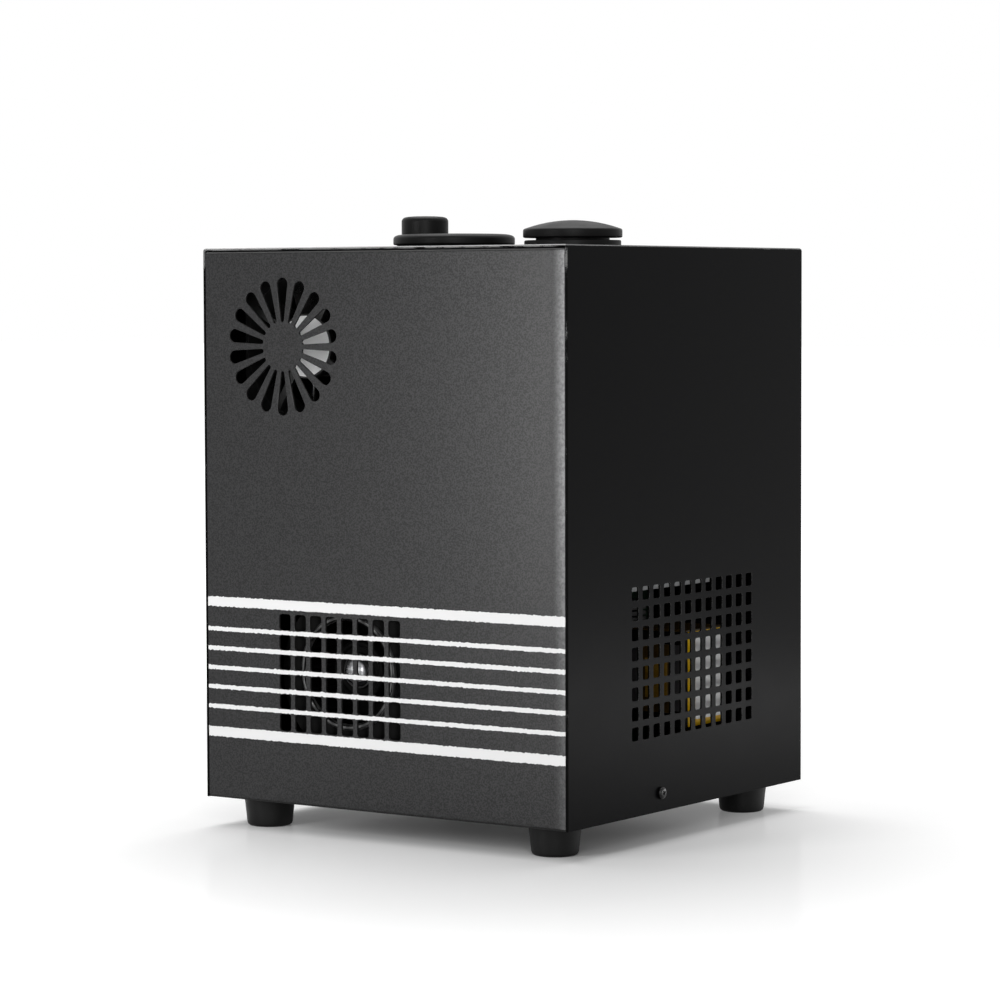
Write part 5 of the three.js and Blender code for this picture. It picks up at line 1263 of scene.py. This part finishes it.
print("capacitors, mm:", in_mm(film.dimensions), in_mm(sleeve.dimensions))

# %% [markdown]
# A board is never as bare as three big parts make it look. A ring choke, two relays, a row of
# resistors, some chips and a white connector fill the rest, each modelled once and copied.

# %% Small parts on the board
board_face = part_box("power_board")[1].x
RESISTORS, RESISTOR_PITCH = 7, 5
CHOKE_RADIUS, CHOKE_TURNS, CHOKE_GAP = 7.5, 40, (9, 10)


def on_board(y, z, out=0):
    """A place on the board: y from the cabinet's middle, z above its base, out from the board's face."""
    return Vector((board_face + out * MM, y * MM, BASE + z * MM))


def board_block(name, y, z, wide, tall, out, edge, material):
    """A moulded part: y and z are its middle on the board, out is how far it stands off."""
    part = block(name, on_board(y - wide / 2, z - tall / 2), on_board(y + wide / 2, z + tall / 2, out))
    put(round_rims(part, edge, segments=2), material)


for number, (y, z) in enumerate(((-10, 33), (6, 33), (-38, 50), (6, 86))):
    board_block(f"chip_{number}", y, z, 9, 6.4, 3.2, 0.35, black_plastic)
for number, (y, z) in enumerate(((-35, 82), (-17, 82))):
    board_block(f"relay_{number}", y, z, 15, 12, 12, 0.6, black_gloss)
for number, z in enumerate((36, 43)):
    board_block(f"plug_{number}", -34, z, 12, 5, 7, 0.3, relay_white)
resistor = shade(turned("resistor", [
    (0.3, -7), (0.3, -4.1), (0.9, -4), (1.3, -3.6), (1.3, -2.5), (1.1, -2.2), (1.1, 2.2), (1.3, 2.5),
    (1.3, 3.6), (0.9, 4), (0.3, 4.1), (0.3, 7)], vertices=20), 50)
row = [copy_of(resistor, "row",
               Matrix.Translation(on_board(8, 44 + RESISTOR_PITCH * i, 2)) @ turn_about(ORIGIN, "X", 90))
       for i in range(RESISTORS)]
remove(resistor)
put(joined("resistor_row", row), resistor_tan)

bpy.ops.mesh.primitive_torus_add(major_segments=40, minor_segments=14, major_radius=CHOKE_RADIUS * MM,
                                 minor_radius=3.4 * MM)
ring_core = named("choke_core")
bpy.ops.mesh.primitive_torus_add(major_segments=14, minor_segments=6, major_radius=3.9 * MM,
                                 minor_radius=0.45 * MM, location=(CHOKE_RADIUS * MM, 0, 0),
                                 rotation=(math.pi / 2, 0, 0))
turn = named("choke_turn")
turns = [copy_of(turn, "turn", Matrix.Rotation(WHOLE_TURN * i / CHOKE_TURNS, 4, "Z"))
         for i in range(CHOKE_TURNS) if i % (CHOKE_TURNS // 2) not in CHOKE_GAP]
remove(turn)
choke_spot = laid(on_board(-64, 97, 4.5), "right")
put(shade(moved(ring_core, choke_spot), 60), ferrite)
put(shade(moved(joined("choke_wire", turns), choke_spot), 60), copper_wire)
print("resistors:", RESISTORS, "choke turns:", len(turns))

# %% [markdown]
# ## Rear panel
#
# The rear carries the controls: a display with four buttons, the power switch, the power inlet and two
# signal sockets. The plate sits in the cover's rear opening and is punched as the front was. Four
# studs behind it carry the display's board.

# %% Rear plate
rear_low, rear_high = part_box("rear_panel")
window_low, window_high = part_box("display_window")
REAR_FACE = rear_high.y
PLATE_FRONT = REAR_FACE - PANEL_SHEET
SLACK = 0.3
BUTTONS = [f"menu_button_{number}" for number in (1, 2, 3, 4)]
window_spot, switch_spot = centre_of("display_window"), centre_of("switch_frame")
inlet_spot, board_spot = centre_of("power_inlet"), centre_of("display_board")


def facing_block(name, centre, wide, tall, start, end, radius=0, segments=3):
    """A block around a line that runs front to back, from depth to depth, with rounded corners if asked."""
    low, high = at_depth(centre, start, -wide / 2, -tall / 2), at_depth(centre, end, wide / 2, tall / 2)
    return rounded_block(name, low, high, radius, "Y", segments) if radius else block(name, low, high)


def facing_bar(name, radius, centre, start, end, vertices=24, x=0, z=0):
    """A round bar that runs front to back, from depth to depth, beside or above a centre."""
    return bar(name, radius, at_depth(centre, start, x, z), at_depth(centre, end, x, z), vertices)


PUNCH_START, PUNCH_END = PLATE_FRONT - 3 * MM, REAR_FACE + 3 * MM
window_wide, _, window_tall = (window_high - window_low) / MM
windows = [(window_spot, window_wide, window_tall, 0.6), (switch_spot, 12.6, 18.6, 0.5),
           (inlet_spot, 27, 20, 0.5)]
punches = [facing_block("punch", spot, wide + 2 * SLACK, tall + 2 * SLACK, PUNCH_START, PUNCH_END, radius)
           for spot, wide, tall, radius in windows]
rounds = [("dmx_input", 11.9), ("dmx_output", 11.9), *((button, 4.3) for button in BUTTONS),
          ("rear_screw_left", SCREW_HOLE), ("rear_screw_right", SCREW_HOLE)]
punches += [facing_bar("punch", radius, centre_of(node), PUNCH_START, PUNCH_END, 40)
            for node, radius in rounds]
rear_plate = cut(block("rear_plate", (rear_low.x, PLATE_FRONT, rear_low.z), rear_high), punches)
studs = [facing_bar("stud", 3, board_spot, rear_low.y, PLATE_FRONT + 0.2 * MM, 20, x, z)
         for x in (-42, 42) for z in (-27, 27)]
rear_piece = round_rims(joined("rear_plate_punched", [rear_plate, *studs]), 0.2, segments=2)
put(rear_piece, grey_plain, nodes=["rear_panel"])
print("rear plate, mm:", in_mm(rear_piece.dimensions))

# %% [markdown]
# The display is a dark glass block with a paler lit area behind its face. The area is a mask in the
# material, so it stays in its place in the glass. The buttons are turned, each on its own body.

# %% Display and buttons
LIT_HALF_WIDE, LIT_HALF_TALL = 26 * MM, 7.5 * MM
glass = round_rims(block("display_glass_block", window_low, window_high), 0.4)
put(glass, display_glass, nodes=["display_window"])
tree = display_glass.node_tree
x, _, z = parts_of(tree, object_place(tree))
lit = times(tree, under(tree, away_from(tree, x, window_spot.x), LIT_HALF_WIDE),
            under(tree, away_from(tree, z, window_spot.z), LIT_HALF_TALL))
overlay(display_glass, lit, colour(30, 44, 40))

for number, node in enumerate(BUTTONS, 1):
    low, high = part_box(node)
    long = (high.y - low.y) / MM
    collar = (PLATE_FRONT - low.y) / MM - 0.1
    button = turned(f"{node}_cap", [
        (2, 0), (2, collar - 1.6), (5.1, collar - 1.6), (5.2, collar - 1.5), (5.2, collar - 0.1), (5.1, collar),
        (4, collar), (4, long - 0.9), (3.85, long - 0.45), (3.5, long - 0.15), (3.0, long), (2.2, long - 0.1),
        (0.8, long - 0.2)], at_depth(centre_of(node), low.y), "rear", vertices=48)
    put(shade(button, 50), black_gloss, body=f"button_{number}", nodes=[node])
print("buttons:", len(BUTTONS), "long, mm:", round(long, 1))

# %% [markdown]
# ## Switch
#
# The rocker is a block with a shallow valley in its face, tilted on its pin. Bisect gives the line of the
# valley, which is then pushed in. The line and the ring on its two halves are the usual marks for on
# and off, and are modelled as thin print.

# %% Switch frame and rocker
frame_low, frame_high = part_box("switch_frame")
shell = facing_block("switch_shell", switch_spot, 12.6, 18.6, frame_low.y, frame_high.y - MM)
bezel = block("bezel", (frame_low.x, frame_high.y - 1.8 * MM, frame_low.z), frame_high)
combine(shell, bezel, "UNION")
cut(shell, [facing_block("hollow", switch_spot, 10, 16, frame_high.y - 10.2 * MM, frame_high.y + 2 * MM)])
put(round_rims(shell, 0.35, segments=2), black_gloss, nodes=["switch_frame"])

ROCKER_WIDE, ROCKER_TALL, ROCKER_TILT = 9.4, 12, 8
ROCKER_FACE = REAR_FACE + 3.1 * MM
FACE_VALLEY, BACK_RIDGE = 1.4 * MM, 3.5 * MM
pivot = at_depth(switch_spot, REAR_FACE - 1.4 * MM)
rocker_block = facing_block("rocker", pivot, ROCKER_WIDE, ROCKER_TALL, pivot.y, ROCKER_FACE)
bisect(rocker_block, pivot, (0, 0, 1))
for side, shift in ((ROCKER_FACE, -FACE_VALLEY), (pivot.y, -BACK_RIDGE)):
    pick(rocker_block, "EDGE",
         lambda middle, along: at(middle.y, side) and at(middle.z, pivot.z) and abs(along.x) > 0.9)
    bpy.ops.transform.translate(value=(0, shift, 0))
    leave_edit()
round_rims(rocker_block, 0.35, angle=25, smooth=30)
pin = bar("rocker_pin", 1.2, shifted(pivot, -5.5, 0, 0), shifted(pivot, 5.5, 0, 0))
tilt = turn_about(pivot, "X", ROCKER_TILT)
rocker = moved(joined("rocker_cap", [rocker_block, pin]), tilt)
put(rocker, black_gloss, body="rocker", nodes=["switch_rocker"])

# The marks lie on the two halves, whose faces fall towards the valley
slope = math.degrees(math.atan2(FACE_VALLEY, ROCKER_TALL / 2 * MM))
line = block("on_mark", shifted(ORIGIN, -0.35, -0.05, -1.5), shifted(ORIGIN, 0.35, 0.05, 1.5))
ring = turned("off_mark", [(1.0, 0), (1.5, 0), (1.5, 0.1), (1.0, 0.1)], toward="rear", vertices=36, hollow=True)
for mark, half in ((line, -1), (ring, 1)):
    middle = at_depth(pivot, ROCKER_FACE - FACE_VALLEY / 2, 0, half * ROCKER_TALL / 4)
    moved(mark, tilt @ Matrix.Translation(middle) @ turn_about(ORIGIN, "X", -half * slope))
put(joined("rocker_marks", [line, ring]), label_white, body="rocker")
print("rocker, mm:", in_mm(rocker.dimensions))

# %% [markdown]
# ## Power inlet
#
# A moulded flange with rounded corners holds a deep well, and three flat blades of bright metal
# stand on its floor. Two small screws hold the flange.

# %% Power inlet
FLANGE_BACK = REAR_FACE + 0.1 * MM
SCREW_DEPTH = 1.2 * MM
FIXING_HOLE, INLET_FIXING, INLET_DEEP = 1.6, 13.6, 17
small_screw = pan_screw("flange_screw", 1.2, 2.3, 1.1, 2.0)


def panel_flange(name, node, radius, neck):
    """A flange with rounded corners on the rear face, joined to the neck behind it."""
    low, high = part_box(node)
    flange = rounded_block(name, (low.x, FLANGE_BACK, low.z), high, radius, "Y", segments=6)
    return combine(flange, neck, "UNION")


def fixing_drills(centre, face, places):
    return [facing_bar("drill", FIXING_HOLE, centre, face - SCREW_DEPTH, face + MM, 28, x, z)
            for x, z in places]


def fix(name, centre, face, places):
    """Put a small screw in each fixing hole of a flange."""
    for number, (x, z) in enumerate(places):
        seat = laid(at_depth(centre, face - SCREW_DEPTH, x, z), "rear")
        put(copy_of(small_screw, f"{name}_screw_{number}", seat), zinc)


inlet_low, inlet_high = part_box("power_inlet")
inlet_floor = inlet_high.y - INLET_DEEP * MM
neck = facing_block("neck", inlet_spot, 27, 20, inlet_low.y, FLANGE_BACK + MM)
inlet = panel_flange("inlet_flange", "power_inlet", 3, neck)
well = facing_block("well", inlet_spot, 23.4, 16.2, inlet_floor, inlet_high.y + 2 * MM)
places = ((0, -INLET_FIXING), (0, INLET_FIXING))
cut(inlet, [well, *fixing_drills(inlet_spot, inlet_high.y, places)])
put(round_rims(inlet, 0.4), black_plastic, nodes=["power_inlet"])
blades = [facing_block("blade", shifted(inlet_spot, x, 0, z), 2, 4, inlet_floor - MM, inlet_floor + 14 * MM)
          for x, z in ((-7, -1.6), (7, -1.6), (0, 1.6))]
put(round_rims(joined("inlet_blades", blades), 0.4), bright_steel)
fix("inlet", inlet_spot, inlet_high.y, places)
print("inlet, mm:", in_mm(inlet.dimensions))

# %% [markdown]
# ## Signal sockets
#
# Each socket is a square flange with a round barrel. The input is a deep well with three pins in it. The
# output is closed by an insert with three bores, with a ring groove around it.

# %% Signal sockets
SOCKET_DEEP, PIN_CIRCLE, CONTACT = 15, 5, 1.2
contacts = [(PIN_CIRCLE * math.cos(math.radians(turn)), PIN_CIRCLE * math.sin(math.radians(turn)))
            for turn in (30, 150, 270)]
places = ((-9.5, 12), (9.5, -12))
for node, has_pins in (("dmx_input", True), ("dmx_output", False)):
    low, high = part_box(node)
    spot, face = centre_of(node), high.y
    socket_floor = face - SOCKET_DEEP * MM
    neck = facing_bar("neck", 11.6, spot, low.y, FLANGE_BACK + MM, 72)
    flange = panel_flange(f"{node}_flange", node, 2.5, neck)
    drills = fixing_drills(spot, face, places)
    if has_pins:
        drills.append(facing_bar("well", 8.6, spot, socket_floor, face + MM, 72))
        pins = [facing_bar("pin", CONTACT, spot, socket_floor - MM, socket_floor + 12 * MM, 24, x, z)
                for x, z in contacts]
        put(round_rims(joined("signal_pins", pins), 0.45, segments=4), bright_steel)
    else:
        drills += [facing_bar("bore", CONTACT, spot, socket_floor, socket_floor + 17 * MM, 24, x, z)
                   for x, z in contacts]
        groove = [(8.6, -1.5), (9.6, -1.5), (9.6, 1), (8.6, 1)]
        drills.append(turned("groove", groove, at_depth(spot, face), "rear", vertices=72, hollow=True))
    for drilled in drills:
        cut(flange, [drilled])
    put(round_rims(flange, 0.35), black_plastic, nodes=[node])
    fix(node, spot, face, places)
remove(small_screw)
print("sockets dressed, flange faces:", len(flange.data.polygons))

# %% [markdown]
# ## Induction coil
#
# The coil is bent from copper tube. A small circle and the Screw modifier draw it as it is wound: each
# turn climbs by the pitch. The ring that the circle leaves at each end is closed by one face.

# %% Induction coil
TUBE, COIL_RADIUS, COIL_PITCH, COIL_TURNS = 2.5, 24, 6, 3
bpy.ops.mesh.primitive_circle_add(vertices=20, radius=TUBE * MM, location=(COIL_RADIUS * MM, 0, 0),
                                  rotation=(math.pi / 2, 0, 0))
coil_piece = named("coil_tube")
use(coil_piece, "SCREW", axis="Z", angle=WHOLE_TURN, screw_offset=COIL_PITCH * MM, iterations=COIL_TURNS,
    steps=64, render_steps=64, use_merge_vertices=True, use_normal_calculate=True)
edit(coil_piece, "EDGE")
bpy.ops.mesh.select_all(action="DESELECT")
bpy.ops.mesh.select_non_manifold()
bpy.ops.mesh.edge_face_add()
bpy.ops.mesh.select_all(action="SELECT")
bpy.ops.mesh.normals_make_consistent(inside=False)
leave_edit()
coil_foot = shifted(at_height(nozzle, centre_of("induction_coil").z), 0, 0, -COIL_TURNS * COIL_PITCH / 2)
moved(coil_piece, Matrix.Translation(coil_foot))
put(shade(coil_piece, 40), bare_copper, nodes=["induction_coil"])
print("coil, mm:", in_mm(coil_piece.dimensions))

# %% [markdown]
# ## Finishes of the parts that stay
#
# Parts that nothing hides or shows up close keep their imported shape. They get the finish of their
# real material: dull zinc for the tank and the inner frame, turned stainless for the chamber, brighter
# zinc for brackets and motors, ceramic around the chamber. The blower's scroll and inlet plate and the
# air duct get a black darker than their own, partly a painted shade of the inside.

# %% Dress the imported parts
dress(bright_steel, "feed_screw", "heating_chamber", "nozzle_tube")
dress(raw_aluminium, "feed_housing")
dress(black_anodised, "heat_sink")
dress(dull_zinc, "inner_frame", "hopper_tank")
dress(zinc, "feed_coupling", "feed_motor", "feed_stand", "blower_motor", "blower_bracket", "board_bracket")
dress(ceramic_fibre, "chamber_sleeve")
# These take the darkened black, partly a painted shade of the inside
dress(shade_dark_plastic, "blower_scroll", "blower_inlet_plate", "air_duct")
dress(board_green, "power_board", "display_board")
print("materials in all:", len(bpy.data.materials))

# %% [markdown]
# ## Measure
#
# The imported model's box is printed. The dressed model must stay inside the imported
# one.

print("packed, mm: ", in_mm((*packed_low, *packed_high), 2))
